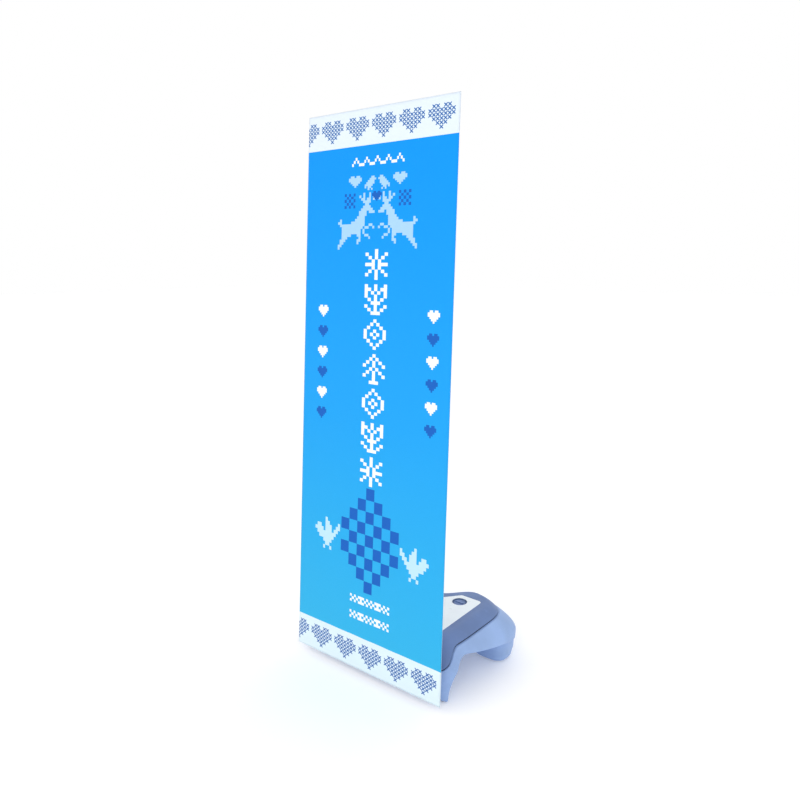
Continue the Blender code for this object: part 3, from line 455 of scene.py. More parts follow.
def printed_sheet():
    """The sheet as a grid on every cell's edge, so that each face has one ink."""
    found = marks()
    across = {0.0, SHEET_WIDTH}
    down = {0.0, SHEET_HEIGHT, TOP_BAND * SHEET_HEIGHT, BOTTOM_BAND * SHEET_HEIGHT}
    for one in found:
        columns, rows = len(one["chart"][0]), len(one["chart"])
        edges_u = [one["corner"][0] + one["cell"][0] * k for k in range(columns + 1)]
        edges_v = [one["corner"][1] + one["cell"][1] * k for k in range(rows + 1)]
        across.update(edge for edge in edges_u if 0 < edge < SHEET_WIDTH)
        down.update(edge for edge in edges_v if 0 < edge < SHEET_HEIGHT)
    us, vs = filled(across), filled(down)
    mesh = bpy.data.meshes.new("printed_sheet")
    bm = bmesh.new()
    place, cell_place = bm.loops.layers.uv.new("UVMap"), bm.loops.layers.uv.new(STITCH_LAYER)
    grid = [[bm.verts.new(sheet_point(u, v)) for u in us] for v in vs]
    spots = {vertex: (u, v) for row, v in zip(grid, vs) for vertex, u in zip(row, us)}
    order = list(INKS)
    for j in range(len(vs) - 1):
        for i in range(len(us) - 1):
            face = bm.faces.new((grid[j][i], grid[j + 1][i], grid[j + 1][i + 1], grid[j][i + 1]))
            centre = ((us[i] + us[i + 1]) / 2, (vs[j] + vs[j + 1]) / 2)
            white = not TOP_BAND < centre[1] / SHEET_HEIGHT < BOTTOM_BAND
            ink, corner, cell = "band" if white else "ground", (0.0, 0.0), (1.0, 1.0)
            for one in found:
                column, row = [floor((centre[k] - one["corner"][k]) / one["cell"][k]) for k in (0, 1)]
                inside = 0 <= row < len(one["chart"]) and 0 <= column < len(one["chart"][0])
                if inside and one["chart"][row][column] == "#":
                    ink, corner, cell = one["ink"], one["corner"], one["cell"]
                    corner = (corner[0] + column * cell[0], corner[1] + row * cell[1])
            face.material_index = order.index(ink)
            face.smooth = True
            for loop in face.loops:
                spot = spots[loop.vert]
                loop[place].uv = spot
                loop[cell_place].uv = [(spot[k] - corner[k]) / cell[k] for k in (0, 1)]
    bm.to_mesh(mesh)
    bm.free()
    made = linked("printed_sheet", mesh)
    for ink in order:
        mesh.materials.append(INKS[ink])
    mesh.materials.append(BACK_CLOTH)
    thick = made.modifiers.new("cloth", "SOLIDIFY")
    thick.thickness = SHEET_THICKNESS
    thick.offset = -1.0
    thick.material_offset = len(order)
    thick.material_offset_rim = len(order)
    return made


# ---------------------------------------- shapes


def linked(name, data):
    """A new object of this data, put in the scene."""
    made = bpy.data.objects.new(name, data)
    bpy.context.scene.collection.objects.link(made)
    return made


def piece(name, mesh, finish, angle=35):
    made = linked(name, mesh)
    mesh.materials.append(finish)
    mesh.shade_smooth()
    mesh.set_sharp_from_angle(angle=radians(angle))
    return made


def mesh_from(bm, name):
    bmesh.ops.recalc_face_normals(bm, faces=bm.faces)
    mesh = bpy.data.meshes.new(name)
    bm.to_mesh(mesh)
    bm.free()
    return mesh


def applied(made):
    """Applies a piece's modifiers to its mesh and drops any cutter they used."""
    tools = [step.object for step in made.modifiers if step.type == "BOOLEAN"]
    bpy.context.view_layer.update()
    evaluated = made.evaluated_get(bpy.context.evaluated_depsgraph_get())
    made.data = bpy.data.meshes.new_from_object(evaluated)
    made.modifiers.clear()
    for tool in tools:
        bpy.data.objects.remove(tool)
    return made


def turned(name, profile, finish=None, steps=64, location=(0, 0, 0), rotation=(0, 0, 0)):
    """A profile of (radius, height) points turned about Z; it runs down its outer side."""
    edges = [(i, i + 1) for i in range(len(profile) - 1)]
    if profile[0][0] > 0:
        edges.append((len(profile) - 1, 0))
    mesh = bpy.data.meshes.new(name)
    mesh.from_pydata([(radius, 0, height) for radius, height in profile], edges, [])
    made = linked(name, mesh)
    if finish:
        mesh.materials.append(finish)
    screw = made.modifiers.new("turn", "SCREW")
    screw.steps = screw.render_steps = steps
    screw.use_merge_vertices = True
    screw.merge_threshold = 0.00001
    made.location, made.rotation_euler = location, rotation
    return made


def disc(name, radius, low, high, **rest):
    return turned(name, [(0.0, high), (radius, high), (radius, low), (0.0, low)], **rest)


def combined(made, operation, *tools):
    for tool in tools:
        step = made.modifiers.new(tool.name, "BOOLEAN")
        step.operation, step.solver, step.object = operation, "EXACT", tool
    return made


def smoothed(made, angle=35):
    made.data.shade_smooth()
    made.data.set_sharp_from_angle(angle=radians(angle))
    return made


def loft(name, rings, finish=None):
    """A closed body through rings of points, with its first and last ring filled."""
    bm = bmesh.new()
    loops = [[bm.verts.new(point) for point in points] for points in rings]
    count = len(loops[0])
    for low, high in zip(loops, loops[1:]):
        for k in range(count):
            bm.faces.new((low[k], low[(k + 1) % count], high[(k + 1) % count], high[k]))
    bm.faces.new(loops[0])
    bm.faces.new(loops[-1])
    made = linked(name, mesh_from(bm, name))
    if finish:
        made.data.materials.append(finish)
    return made


# ---------------------------------------- the base's outlines, as designed

BASE_FRONT, BASE_BACK = SHEET_FRONT + 0.035, 0.245
BASE_WIDTH = 0.690
BASE_HEIGHT = 0.180
BASE_TAPER = 0.035
FLARE_HEIGHT = 0.095
GROOVE_HEIGHT = 0.157
GROOVE_DROOP = 0.070
BELLY_HEIGHT = 0.100
COVER_WALL = 0.005
TANK_WALL = 0.0045
COVER_BOTTOM = COVER_WALL + 0.0003
NOTCH_DEPTH, NOTCH_FLAT, NOTCH_END = 0.085, 0.060, 0.165
SQUARENESS = 5.0
FOOT_LINE = (BASE_WIDTH / 2 + 0.007, BASE_FRONT - 0.007, BASE_BACK - 0.050)
FLARE_LINE = (BASE_WIDTH / 2, BASE_FRONT, BASE_BACK)
GROOVE_LINE = (BASE_WIDTH / 2 - 0.054, BASE_FRONT + 0.006, BASE_BACK - 0.042)
PLATEAU_LINE = (BASE_WIDTH / 2 - 0.100, BASE_FRONT + 0.050, BASE_BACK - 0.064)
LEG_REACH, LEG_BLEND = 0.013, 0.055
LEG_ANGLE = -pi / 4 - 0.08
ARCH_START, ARCH_PEAK, ARCH_FALL = 0.100, 0.130, 0.22
SKIRT_LEAST = 0.028
SKIRT_CURVE, SHOULDER_CURVE, SHOULDER_ROUNDNESS = 1.4, 1.5, 0.9  # powers that shape the wall's profile
DROOP_RUN = 0.115  # how far back from the front the seam's droop ends
FOOT_BOTTOM = 0.0043
SIDE_STATIONS = 16
CORNER_STATIONS = 26
STRAIGHT_SHARE = 0.82


def station_angles():
    """Angles round an outline, evenly along its sides and closer through its corners."""
    shares = [STRAIGHT_SHARE * k / SIDE_STATIONS for k in range(SIDE_STATIONS + 1)]
    spread = [asin(share ** (SQUARENESS / 2)) for share in shares]
    first = spread[-1]
    corner = [first + (pi / 2 - 2 * first) * k / CORNER_STATIONS for k in range(1, CORNER_STATIONS)]
    quarter = spread + corner + [pi / 2 - angle for angle in reversed(spread[1:])]
    return [quadrant * pi / 2 + angle for quadrant in range(4) for angle in quarter]


ANGLES = station_angles()


def smooth(share):
    share = min(max(share, 0.0), 1.0)
    return share * share * (3 - 2 * share)


def signed_power(value, power):
    return abs(value) ** power * (1 if value > 0 else -1)


def outline(half_width, front, back, angle):
    """A point at this angle on a rounded outline, with the hand hold in its back edge."""
    middle, half_depth = (front + back) / 2, (back - front) / 2
    power = 2 / SQUARENESS
    x, y = half_width * signed_power(cos(angle), power), half_depth * signed_power(sin(angle), power)
    near_middle = 1 - smooth((abs(x) - NOTCH_FLAT) / (NOTCH_END - NOTCH_FLAT))
    taper = 1 - BASE_TAPER * (0.5 - y / half_depth / 2)
    return x * taper, middle + y - NOTCH_DEPTH * near_middle * smooth(y / half_depth)


def between(low_line, high_line, share):
    return tuple(low + (high - low) * share for low, high in zip(low_line, high_line))


def inset(line, wall):
    return line[0] - wall, line[1] + wall, line[2] - wall


def wall_line(height):
    if height < FLARE_HEIGHT:
        return between(FLARE_LINE, FOOT_LINE, (1 - height / FLARE_HEIGHT) ** SKIRT_CURVE)
    share = (height - FLARE_HEIGHT) / (GROOVE_HEIGHT - FLARE_HEIGHT)
    return between(FLARE_LINE, GROOVE_LINE, share**SHOULDER_CURVE)


def wall_point(angle, height, wall=0.0):
    return (*outline(*inset(wall_line(height), wall), angle), height)


def groove_height(angle):
    """Height of the seam, which droops towards the front."""
    y = wall_point(angle, GROOVE_HEIGHT)[1]
    return GROOVE_HEIGHT - GROOVE_DROOP * (1 - smooth((y - BASE_FRONT) / DROOP_RUN)) ** 2


def edge_height(angle):
    """Height of the skirt's lower edge: down at the front legs, arched between them."""
    x, y, _ = wall_point(angle, FLARE_HEIGHT)
    corner_x, corner_y, _ = wall_point(LEG_ANGLE, FLARE_HEIGHT)
    share = min(max((hypot(abs(x) - corner_x, y - corner_y) - LEG_REACH) / LEG_BLEND, 0.0), 1.0)
    rise = (share * (2 - share)) ** 0.5
    fall = ARCH_FALL * max(0.0, y - BASE_FRONT - ARCH_START)
    arch = min(ARCH_PEAK - fall, groove_height(angle) - SKIRT_LEAST)
    return FOOT_BOTTOM + (arch - FOOT_BOTTOM) * rise


def shoulder_ring(share, drop=0.0, wall=0.0):
    """A ring of the cover's rounded shoulder, from the seam (0) to the plateau (1)."""
    points = []
    for angle in ANGLES:
        seam = groove_height(angle)
        low = outline(*inset(wall_line(seam), wall), angle)
        high = outline(*inset(PLATEAU_LINE, wall), angle)
        x, y = (a + (b - a) * share for a, b in zip(low, high))
        points.append((x, y, seam + (BASE_HEIGHT - seam) * sin(pi / 2 * share) ** SHOULDER_ROUNDNESS - drop))
    return points


SHOULDER_SHARES = [(k / 16) ** 1.3 for k in range(17)]
ROOF_SHARES = (0.18, 0.42, 0.70, 1.0)  # rings of the hidden faces under the cover
SEAM_WIDTH = 0.004
(FILLER_LOW_X, FILLER_LOW_Y, _), (FILLER_HIGH_X, FILLER_HIGH_Y, _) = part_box("fill_cap")
FILLER = {"location": ((FILLER_LOW_X + FILLER_HIGH_X) / 2, (FILLER_LOW_Y + FILLER_HIGH_Y) / 2, 0)}
WELL_RADIUS, WELL_FLOOR = 0.0265, BASE_HEIGHT - 0.0215
NECK_RADIUS, NECK_BORE, NECK_TOP = 0.0165, 0.0130, BASE_HEIGHT - 0.0095
(DRAIN_LOW_X, _, DRAIN_LOW_Z), (DRAIN_HIGH_X, _, DRAIN_HIGH_Z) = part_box("drain_plug")
DRAIN_SPOT = ((DRAIN_LOW_X + DRAIN_HIGH_X) / 2, BASE_BACK - 0.026, (DRAIN_LOW_Z + DRAIN_HIGH_Z) / 2)
DRAIN = {"location": DRAIN_SPOT, "rotation": (-pi / 2, 0, 0)}
DRAIN_RECESS, DRAIN_BORE = 0.0185, 0.0088
DRAIN_BLOCK_DEPTH, DRAIN_RECESS_DEPTH = 0.022, 0.010
BELLY_INSET, BELLY_MIDDLE_INSET, SKIRT_INSIDE = 0.062, 0.04, 0.030
EDGE_ROUNDING, EDGE_STEPS, WALL_STEPS = 0.0055, 6, 14
SEAM_REBATE = 0.0012
CAVITY_INSETS = ((0.032, 0.030, 0.050), (0.014, 0.052, 0.018), (0.012, 0.072, 0.020))  # side, front, back
PAST = 0.01  # how far a cutter stands past the face that it opens


def tank_rings():
    """The tank's rings, from the middle of its belly out, down round the edge and up to the roof."""
    belly = inset(FLARE_LINE, BELLY_INSET)
    edges = [edge_height(angle) for angle in ANGLES]
    seams = [groove_height(angle) - COVER_BOTTOM for angle in ANGLES]
    rings = [[(*outline(*inset(belly, BELLY_MIDDLE_INSET), angle), BELLY_HEIGHT) for angle in ANGLES]]
    rings.append([(*outline(*belly, angle), BELLY_HEIGHT) for angle in ANGLES])
    rings.append([wall_point(angle, edge, SKIRT_INSIDE) for angle, edge in zip(ANGLES, edges)])
    for turn in range(EDGE_STEPS + 1):
        around = pi / 2 * turn / EDGE_STEPS
        wall, lift = EDGE_ROUNDING * (1 - sin(around)), EDGE_ROUNDING * (1 - cos(around))
        rings.append([wall_point(angle, edge + lift, wall) for angle, edge in zip(ANGLES, edges)])
    for step in range(1, WALL_STEPS + 1):
        ring = []
        for angle, edge, seam in zip(ANGLES, edges, seams):
            rise = (seam - edge - EDGE_ROUNDING) * step / WALL_STEPS
            ring.append(wall_point(angle, edge + EDGE_ROUNDING + rise))
        rings.append(ring)
    rings.append(shoulder_ring(0.0, COVER_BOTTOM, SEAM_REBATE))
    rings.append(shoulder_ring(0.0, COVER_BOTTOM + 0.0006, SEAM_WIDTH))
    for share in ROOF_SHARES:
        rings.append(shoulder_ring(share, COVER_BOTTOM, COVER_BOTTOM))
    return rings


def cavity():
    """Space for the water, a wall's thickness inside the tank."""
    floor_height, roof = BELLY_HEIGHT + TANK_WALL, BASE_HEIGHT - COVER_BOTTOM - TANK_WALL
    heights, lines = (floor_height, (floor_height + roof) / 2, roof), (FLARE_LINE, GROOVE_LINE, PLATEAU_LINE)
    rings = []
    for height, line, (side, front, back) in zip(heights, lines, CAVITY_INSETS):
        inside = (line[0] - side, BASE_FRONT + front, line[2] - back)
        rings.append([(*outline(*inside, angle), height) for angle in ANGLES])
    return loft("cavity", rings)


REAR_LEG = (BASE_WIDTH / 2 - 0.084, BASE_BACK - 0.104)
REAR_LEG_SIZES = ((0.050, 0.038, 0.0), (0.063, 0.051, 0.014), (0.069, 0.056, 0.036), (0.073, 0.060, 0.102))
REAR_LEG_ROUNDING, REAR_LEG_STEPS = 0.014, 7
REAR_LEG_POINTS, REAR_LEG_POWER = 96, 0.72


def rear_leg(side):
    """A block under a back corner, rounded in towards the floor."""
    sole, above = REAR_LEG_SIZES[0], REAR_LEG_SIZES[1]
    sizes = []
    for turn in range(REAR_LEG_STEPS + 1):
        around = pi / 2 * turn / REAR_LEG_STEPS
        half = [low + (high - low) * sin(around) for low, high in zip(sole[:2], above[:2])]
        sizes.append((*half, REAR_LEG_ROUNDING * (1 - cos(around))))
    rings = []
    for half_x, half_y, rise in (*sizes, *REAR_LEG_SIZES[2:]):
        points = []
        for k in range(REAR_LEG_POINTS):
            angle = 2 * pi * k / REAR_LEG_POINTS
            across = signed_power(cos(angle), REAR_LEG_POWER) * half_x
            along = signed_power(sin(angle), REAR_LEG_POWER) * half_y
            points.append((side * REAR_LEG[0] + across, REAR_LEG[1] + along, FOOT_BOTTOM + rise))
        rings.append(points)
    return loft(f"rear_leg_{side}", rings)


def tank_shell():
    """The hollow tank with its back legs, the filler's neck in its well and the drain's recess."""
    tank = loft("tank_shell", tank_rings(), TANK)
    top = BASE_HEIGHT - COVER_BOTTOM
    block_bottom = WELL_FLOOR - TANK_WALL
    combined(tank, "UNION", rear_leg(1), rear_leg(-1))
    combined(tank, "DIFFERENCE", cavity())
    combined(tank, "UNION", disc("well_block", WELL_RADIUS + TANK_WALL, block_bottom, top - 0.0002, **FILLER))
    combined(tank, "DIFFERENCE", disc("well", WELL_RADIUS, WELL_FLOOR, top + PAST, **FILLER))
    combined(tank, "UNION", disc("neck", NECK_RADIUS, WELL_FLOOR - 0.002, NECK_TOP, **FILLER))
    combined(tank, "DIFFERENCE", disc("neck_bore", NECK_BORE, BELLY_HEIGHT + 0.02, top + PAST, **FILLER))
    combined(tank, "UNION", disc("drain_block", DRAIN_RECESS + TANK_WALL, -DRAIN_BLOCK_DEPTH, 0.001, **DRAIN))
    combined(tank, "DIFFERENCE", disc("drain_recess", DRAIN_RECESS, -DRAIN_RECESS_DEPTH, 0.03, **DRAIN))
    combined(tank, "DIFFERENCE", disc("drain_bore", DRAIN_BORE, -0.04, 0.02, **DRAIN))
    return smoothed(applied(tank), 30)


LIP_SECTION = ((0.0007, 0.0002), (0.0015, 0.0009))  # of the cover's edge: drop, inset
# corners of the section of the dark strip that paints the seam's shadow: drop, inset
STRIP_SECTION = ((0.0026, 0.0022), (0.0052, 0.0022), (0.0055, 0.0038), (0.0037, 0.0038))


def seam_shadow_strip():
    """A dark strip in the gap between cover and tank: a painted shadow of the seam's groove."""
    bm = bmesh.new()
    loops = [[bm.verts.new(point) for point in shoulder_ring(0.0, *corner)] for corner in STRIP_SECTION]
    for low, high in zip(loops, loops[1:] + loops[:1]):
        for k in range(len(ANGLES)):
            after = (k + 1) % len(ANGLES)
            bm.faces.new((low[k], low[after], high[after], high[k]))
    return piece("seam_shadow_strip", mesh_from(bm, "seam_shadow_strip"), RUBBER)


PANEL_OUTER, PANEL_INNER = PLATEAU_LINE[0] - 0.024, 0.075
PANEL_FRONT, PANEL_BACK = BASE_FRONT + 0.072, BASE_BACK - 0.112
PANEL_RECESS, PANEL_THICKNESS = 0.0023, 0.0020
PANEL_CORNER, PANEL_EDGE, PANEL_GAP = 0.014, 0.0008, 0.0003
PANEL_CUT_X, PANEL_CUT_Y = 0.062, 0.075  # size of the slanting cut at its inner back corner


def plate(name, corners, radius, low, high, finish=None, side=1, rounding=0.0):
    """A flat plate with rounded corners, from low to high."""
    points = []
    for k, corner in enumerate(corners):
        here = Vector(corner)
        back, ahead = Vector(corners[k - 1]) - here, Vector(corners[(k + 1) % len(corners)]) - here
        half = back.angle(ahead) / 2
        centre = here + (back.normalized() + ahead.normalized()).normalized() * radius / sin(half)
        start = here + back.normalized() * radius / tan(half) - centre
        turn = start.angle_signed(here + ahead.normalized() * radius / tan(half) - centre)
        points.extend(centre + Matrix.Rotation(-turn * step / 16, 2) @ start for step in range(17))
    bm = bmesh.new()
    face = bm.faces.new([bm.verts.new((side * x, y, low)) for x, y in points])
    raised = bmesh.ops.extrude_face_region(bm, geom=[face])["geom"]
    top = [part for part in raised if isinstance(part, bmesh.types.BMVert)]
    bmesh.ops.translate(bm, vec=(0, 0, high - low), verts=top)
    made = linked(name, mesh_from(bm, name))
    if finish:
        made.data.materials.append(finish)
    if rounding:
        soft = made.modifiers.new("edges", "BEVEL")
        soft.width, soft.segments, soft.limit_method, soft.angle_limit = rounding, 3, "ANGLE", radians(50)
    return made


def panel_corners(gap):
    inner, outer, front, back = PANEL_INNER + gap, PANEL_OUTER - gap, PANEL_FRONT + gap, PANEL_BACK - gap
    cut_start, cut_end = (inner, back - PANEL_CUT_Y), (inner + PANEL_CUT_X, back)
    return (inner, front), cut_start, cut_end, (outer, back), (outer, front)


BOSS_HEIGHT, BOSS_RADIUS, BOSS_FLARE = 0.025, 0.040, 0.008
BOSS_TOP_RADIUS, BOSS_EDGE, BOSS_BORE = 0.034, 0.002, 0.0168
SCREW_CIRCLE, SCREW_BORE, SCREW_DEPTH = 0.0255, 0.0022, 0.016
SOCKET_TOP = BASE_HEIGHT + BOSS_HEIGHT
SHEET_DROP = (SOCKET_TOP + MAST_STANDOFF * sin(LEAN) - SHEET_FOOT) / cos(LEAN)
MAST_PLACE = (0, SHEET_FRONT + MAST_STANDOFF * cos(LEAN) + SHEET_DROP * sin(LEAN), SOCKET_TOP)


def on_mast(x, y, z):
    """A point of the leaning mast's own frame, from the top of its socket."""
    return Vector(MAST_PLACE) + Matrix.Rotation(-LEAN, 3, "X") @ Vector((x, y, z))


def cover_shell():
    """The cover with recesses for the panels, a hole for the filler and the boss under the mast."""
    skin = [shoulder_ring(share) for share in SHOULDER_SHARES]
    lip = [shoulder_ring(0.0, *corner) for corner in LIP_SECTION]
    rim = shoulder_ring(0.0, COVER_WALL - 0.0015, SEAM_WIDTH)
    under = [shoulder_ring(share, COVER_WALL, COVER_WALL) for share in ROOF_SHARES]
    cover = loft("cover_shell", [*reversed(skin), *lip, rim, *under], COVER)
    low = BASE_HEIGHT - PANEL_RECESS
    for side in (1, -1):
        recess = plate(f"recess_{side}", panel_corners(0), PANEL_CORNER, low, low + 0.05, side=side)
        combined(cover, "DIFFERENCE", recess)
    combined(cover, "DIFFERENCE", disc("cover_hole", WELL_RADIUS, 0.1, 0.3, **FILLER))
    foot = -BOSS_HEIGHT - COVER_WALL * 0.5
    flare = []
    for around in [pi / 2 * k / 6 for k in range(7)]:
        radius = BOSS_RADIUS + BOSS_FLARE * (1 - sin(around))
        flare.append((radius, -BOSS_HEIGHT + BOSS_FLARE * (1 - cos(around))))
    top = [(0.0, BOSS_EDGE), (BOSS_TOP_RADIUS, BOSS_EDGE), (BOSS_TOP_RADIUS + BOSS_EDGE, -BOSS_EDGE)]
    boss = [*top, *reversed(flare), (BOSS_RADIUS + BOSS_FLARE, foot), (0.0, foot)]
    combined(cover, "UNION", turned("mast_boss", boss, location=MAST_PLACE))
    seat = {"location": MAST_PLACE, "rotation": (-LEAN, 0, 0)}
    combined(cover, "DIFFERENCE", disc("boss_face", 0.06, 0.0, 0.02, **seat))
    combined(cover, "DIFFERENCE", disc("boss_bore", BOSS_BORE, -0.03, PAST, **seat))
    for k in range(4):
        around = pi / 4 + k * pi / 2
        screw = {"location": on_mast(SCREW_CIRCLE * cos(around), SCREW_CIRCLE * sin(around), 0)}
        hole = disc(f"screw_bore_{k}", SCREW_BORE, -SCREW_DEPTH, PAST, steps=24, **{**seat, **screw})
        combined(cover, "DIFFERENCE", hole)
    return smoothed(applied(cover), 30)


def inlay(side, label):
    """The light panel that lies in its recess."""
    low = BASE_HEIGHT - PANEL_RECESS + PANEL_GAP
    high, corners, radius = low + PANEL_THICKNESS, panel_corners(PANEL_GAP), PANEL_CORNER - PANEL_GAP
    made = plate(f"inlay_{label}", corners, radius, low, high, PANEL, side, PANEL_EDGE)
    if side > 0:
        combined(made, "DIFFERENCE", disc("inlay_hole", WELL_RADIUS, 0.1, 0.3, **FILLER))
    return smoothed(applied(made), 50)


# ---------------------------------------- spring

SPRING_RADIUS, SPRING_WIRE = 0.0155, 0.0025  # of the coil's middle line, and of the wire
SPRING_START, SPRING_PITCH, SPRING_TURNS = 0.0131, 0.0065, 8
SPRING_GRIP = 0.0165  # length that a plug holds straight at each end
SPRING_MIDDLE = SPRING_START + SPRING_WIRE + SPRING_PITCH * SPRING_TURNS / 2


def half_coil(name, first_turn):
    """Half of the coil, as round wire swept along a helix."""
    steps, sides = 40, 14
    rings = []
    for k in range(steps * SPRING_TURNS // 2 + 1):
        turn = first_turn + k / steps
        angle = 2 * pi * turn
        outward = Vector((cos(angle), sin(angle), 0))
        heading = Vector((-sin(angle), cos(angle), SPRING_PITCH / (2 * pi * SPRING_RADIUS))).normalized()
        upward = outward.cross(heading)
        centre = outward * SPRING_RADIUS + Vector((0, 0, SPRING_START + SPRING_WIRE + SPRING_PITCH * turn))
        ring = []
        for side in range(sides):
            around = 2 * pi * side / sides
            ring.append(on_mast(*(centre + (outward * cos(around) + upward * sin(around)) * SPRING_WIRE)))
        rings.append(ring)
    return smoothed(loft(name, rings, SPRING), 50)


# ---------------------------------------- pockets and sewing

POCKET_WIDTH, POCKET_HEIGHT, POCKET_BLUNT = 0.085, 0.110, 0.030
TIP_INSET_X, TIP_INSET_Z, TIP_RADIUS = 0.026, 0.034, 0.0046
ARM_ANGLE = atan2(SHEET_WIDTH / 2 - TIP_INSET_X, SHEET_HEIGHT / 2 - TIP_INSET_Z)
ARM_SLOPE = 0.078  # how fast an arm leaves the sheet, towards the hub
POCKET_SEAT = SHEET_THICKNESS + 0.0014  # depth of a pocket's sewn edges behind the sheet's front
POCKET_CLOTH_THICKNESS = 0.0008
TIP_CLEARANCE, SKIN_CLEARANCE = 0.0006, 0.0016  # before and behind a tip in its pocket
RIDGE_HALF, RIDGE_SIDE, RIDGE_SPREAD = 0.004, 0.0135, 0.10  # the cloth's ridge over an arm
RIDGE_PAST, RIDGE_END = 0.002, 0.022
FOLD_DEPTH, FOLD_ACROSS, FOLD_ALONG = 0.0006, 210, 60
SEWN_WIDTH = 0.010


def pocket_depth(a, b):
    """Depth of a pocket's skin behind the sheet's front, a and b in from the sheet's edges."""
    along = (a - TIP_INSET_X) * sin(ARM_ANGLE) + (b - TIP_INSET_Z) * cos(ARM_ANGLE)
    aside = (a - TIP_INSET_X) * cos(ARM_ANGLE) - (b - TIP_INSET_Z) * sin(ARM_ANGLE)
    rod = SHEET_THICKNESS + TIP_CLEARANCE + 2 * TIP_RADIUS + SKIN_CLEARANCE + ARM_SLOPE * max(along, 0.0)
    spread = RIDGE_SIDE + RIDGE_SPREAD * max(along, 0.0)
    over = 1 - smooth((abs(aside) - RIDGE_HALF) / spread)
    end = 1 - smooth((-along - RIDGE_PAST) / RIDGE_END)
    ripple = FOLD_DEPTH * sin(FOLD_ACROSS * aside + FOLD_ALONG * along)
    fold = ripple * smooth(along / 0.03 + 0.4) * (1 - over)
    sewn = smooth(min(a, b) / SEWN_WIDTH)
    return POCKET_SEAT + (rod - POCKET_SEAT) * over * end + max(fold, 0.0) * sewn


def corner_pocket(label, side, end):
    """A three-cornered pocket over an arm's tip, sewn on two edges and open towards the hub."""
    columns, rows = 44, 56
    bm = bmesh.new()
    place = bm.loops.layers.uv.new("UVMap")
    grid = []
    for j in range(rows + 1):
        across = [(POCKET_WIDTH * i / columns, POCKET_HEIGHT * j / rows) for i in range(columns + 1)]
        grid.append([bm.verts.new((a, b, 0)) for a, b in across])
    for j in range(rows):
        for i in range(columns):
            bm.faces.new((grid[j][i], grid[j][i + 1], grid[j + 1][i + 1], grid[j + 1][i]))
    slant = Vector((POCKET_HEIGHT - POCKET_BLUNT, POCKET_WIDTH - POCKET_BLUNT, 0))
    found = [*bm.verts, *bm.edges, *bm.faces]
    corner = (POCKET_WIDTH, POCKET_BLUNT, 0)
    bmesh.ops.bisect_plane(bm, geom=found, plane_co=corner, plane_no=slant, clear_outer=True)
    for face in bm.faces:
        for loop in face.loops:
            loop[place].uv = loop.vert.co.xy
    for vertex in bm.verts:
        a, b, _ = vertex.co
        u = SHEET_WIDTH / 2 + side * (SHEET_WIDTH / 2 - a)
        v = SHEET_HEIGHT / 2 - end * (SHEET_HEIGHT / 2 - b)
        vertex.co = sheet_point(u, v, pocket_depth(a, b))
    bmesh.ops.recalc_face_normals(bm, faces=bm.faces)
    middle = max(bm.faces, key=lambda face: face.calc_area())
    if middle.normal.dot(BEHIND_SHEET) < 0:
        bmesh.ops.reverse_faces(bm, faces=bm.faces)
    mesh = bpy.data.meshes.new(f"pocket_{label}")
    bm.to_mesh(mesh)
    bm.free()
    made = piece(f"pocket_{label}", mesh, POCKET_CLOTH, 60)
    thick = made.modifiers.new("cloth", "SOLIDIFY")
    thick.thickness, thick.offset = POCKET_CLOTH_THICKNESS, -1.0
    return smoothed(applied(made), 50)


STITCH_LENGTH, STITCH_PITCH, STITCH_WIDTH = 0.0032, 0.0050, 0.0007
STITCH_RISE, STITCH_SINK = 0.0005, 0.0001  # above the cloth in its middle, and into it at its sides
STITCH_RINGS = ((-0.5, 0.0, 0.5), (-0.3, STITCH_RISE, 1.0), (0.3, STITCH_RISE, 1.0), (0.5, 0.0, 0.5))


def stitches(bm, start, end, spot):
    """A row of thread stitches; spot gives the place of a point in the sheet at a depth."""
    place = bm.loops.layers.uv.verify()
    length = hypot(end[0] - start[0], end[1] - start[1])
    way = ((end[0] - start[0]) / length, (end[1] - start[1]) / length)
    aside = (-way[1] * STITCH_WIDTH / 2, way[0] * STITCH_WIDTH / 2)
    count = floor(length / STITCH_PITCH)
    for k in range(count):
        from_start = (k + 0.5) * length / count
        rings = []
        for reach, height, width in STITCH_RINGS:
            along = from_start + reach * STITCH_LENGTH
            u, v = start[0] + way[0] * along, start[1] + way[1] * along
            left = spot(u + aside[0] * width, v + aside[1] * width, -STITCH_SINK)
            right = spot(u - aside[0] * width, v - aside[1] * width, -STITCH_SINK)
            rings.append([bm.verts.new(at) for at in (left, spot(u, v, height + STITCH_SINK), right)])
        faces = [bm.faces.new(rings[0]), bm.faces.new(rings[-1][::-1])]
        for near, far in zip(rings, rings[1:]):
            for i in range(3):
                faces.append(bm.faces.new((near[i], far[i], far[(i + 1) % 3], near[(i + 1) % 3])))
        for face in faces:
            for loop in face.loops:
                loop[place].uv = (start[0] + way[0] * from_start, start[1] + way[1] * from_start)


HEM = 0.014
ROW_INSETS = (0.003, 0.006)  # rows of stitches in from a pocket's edges
ROW_CLEARANCE = 0.004  # from a pocket to the hem's stitches


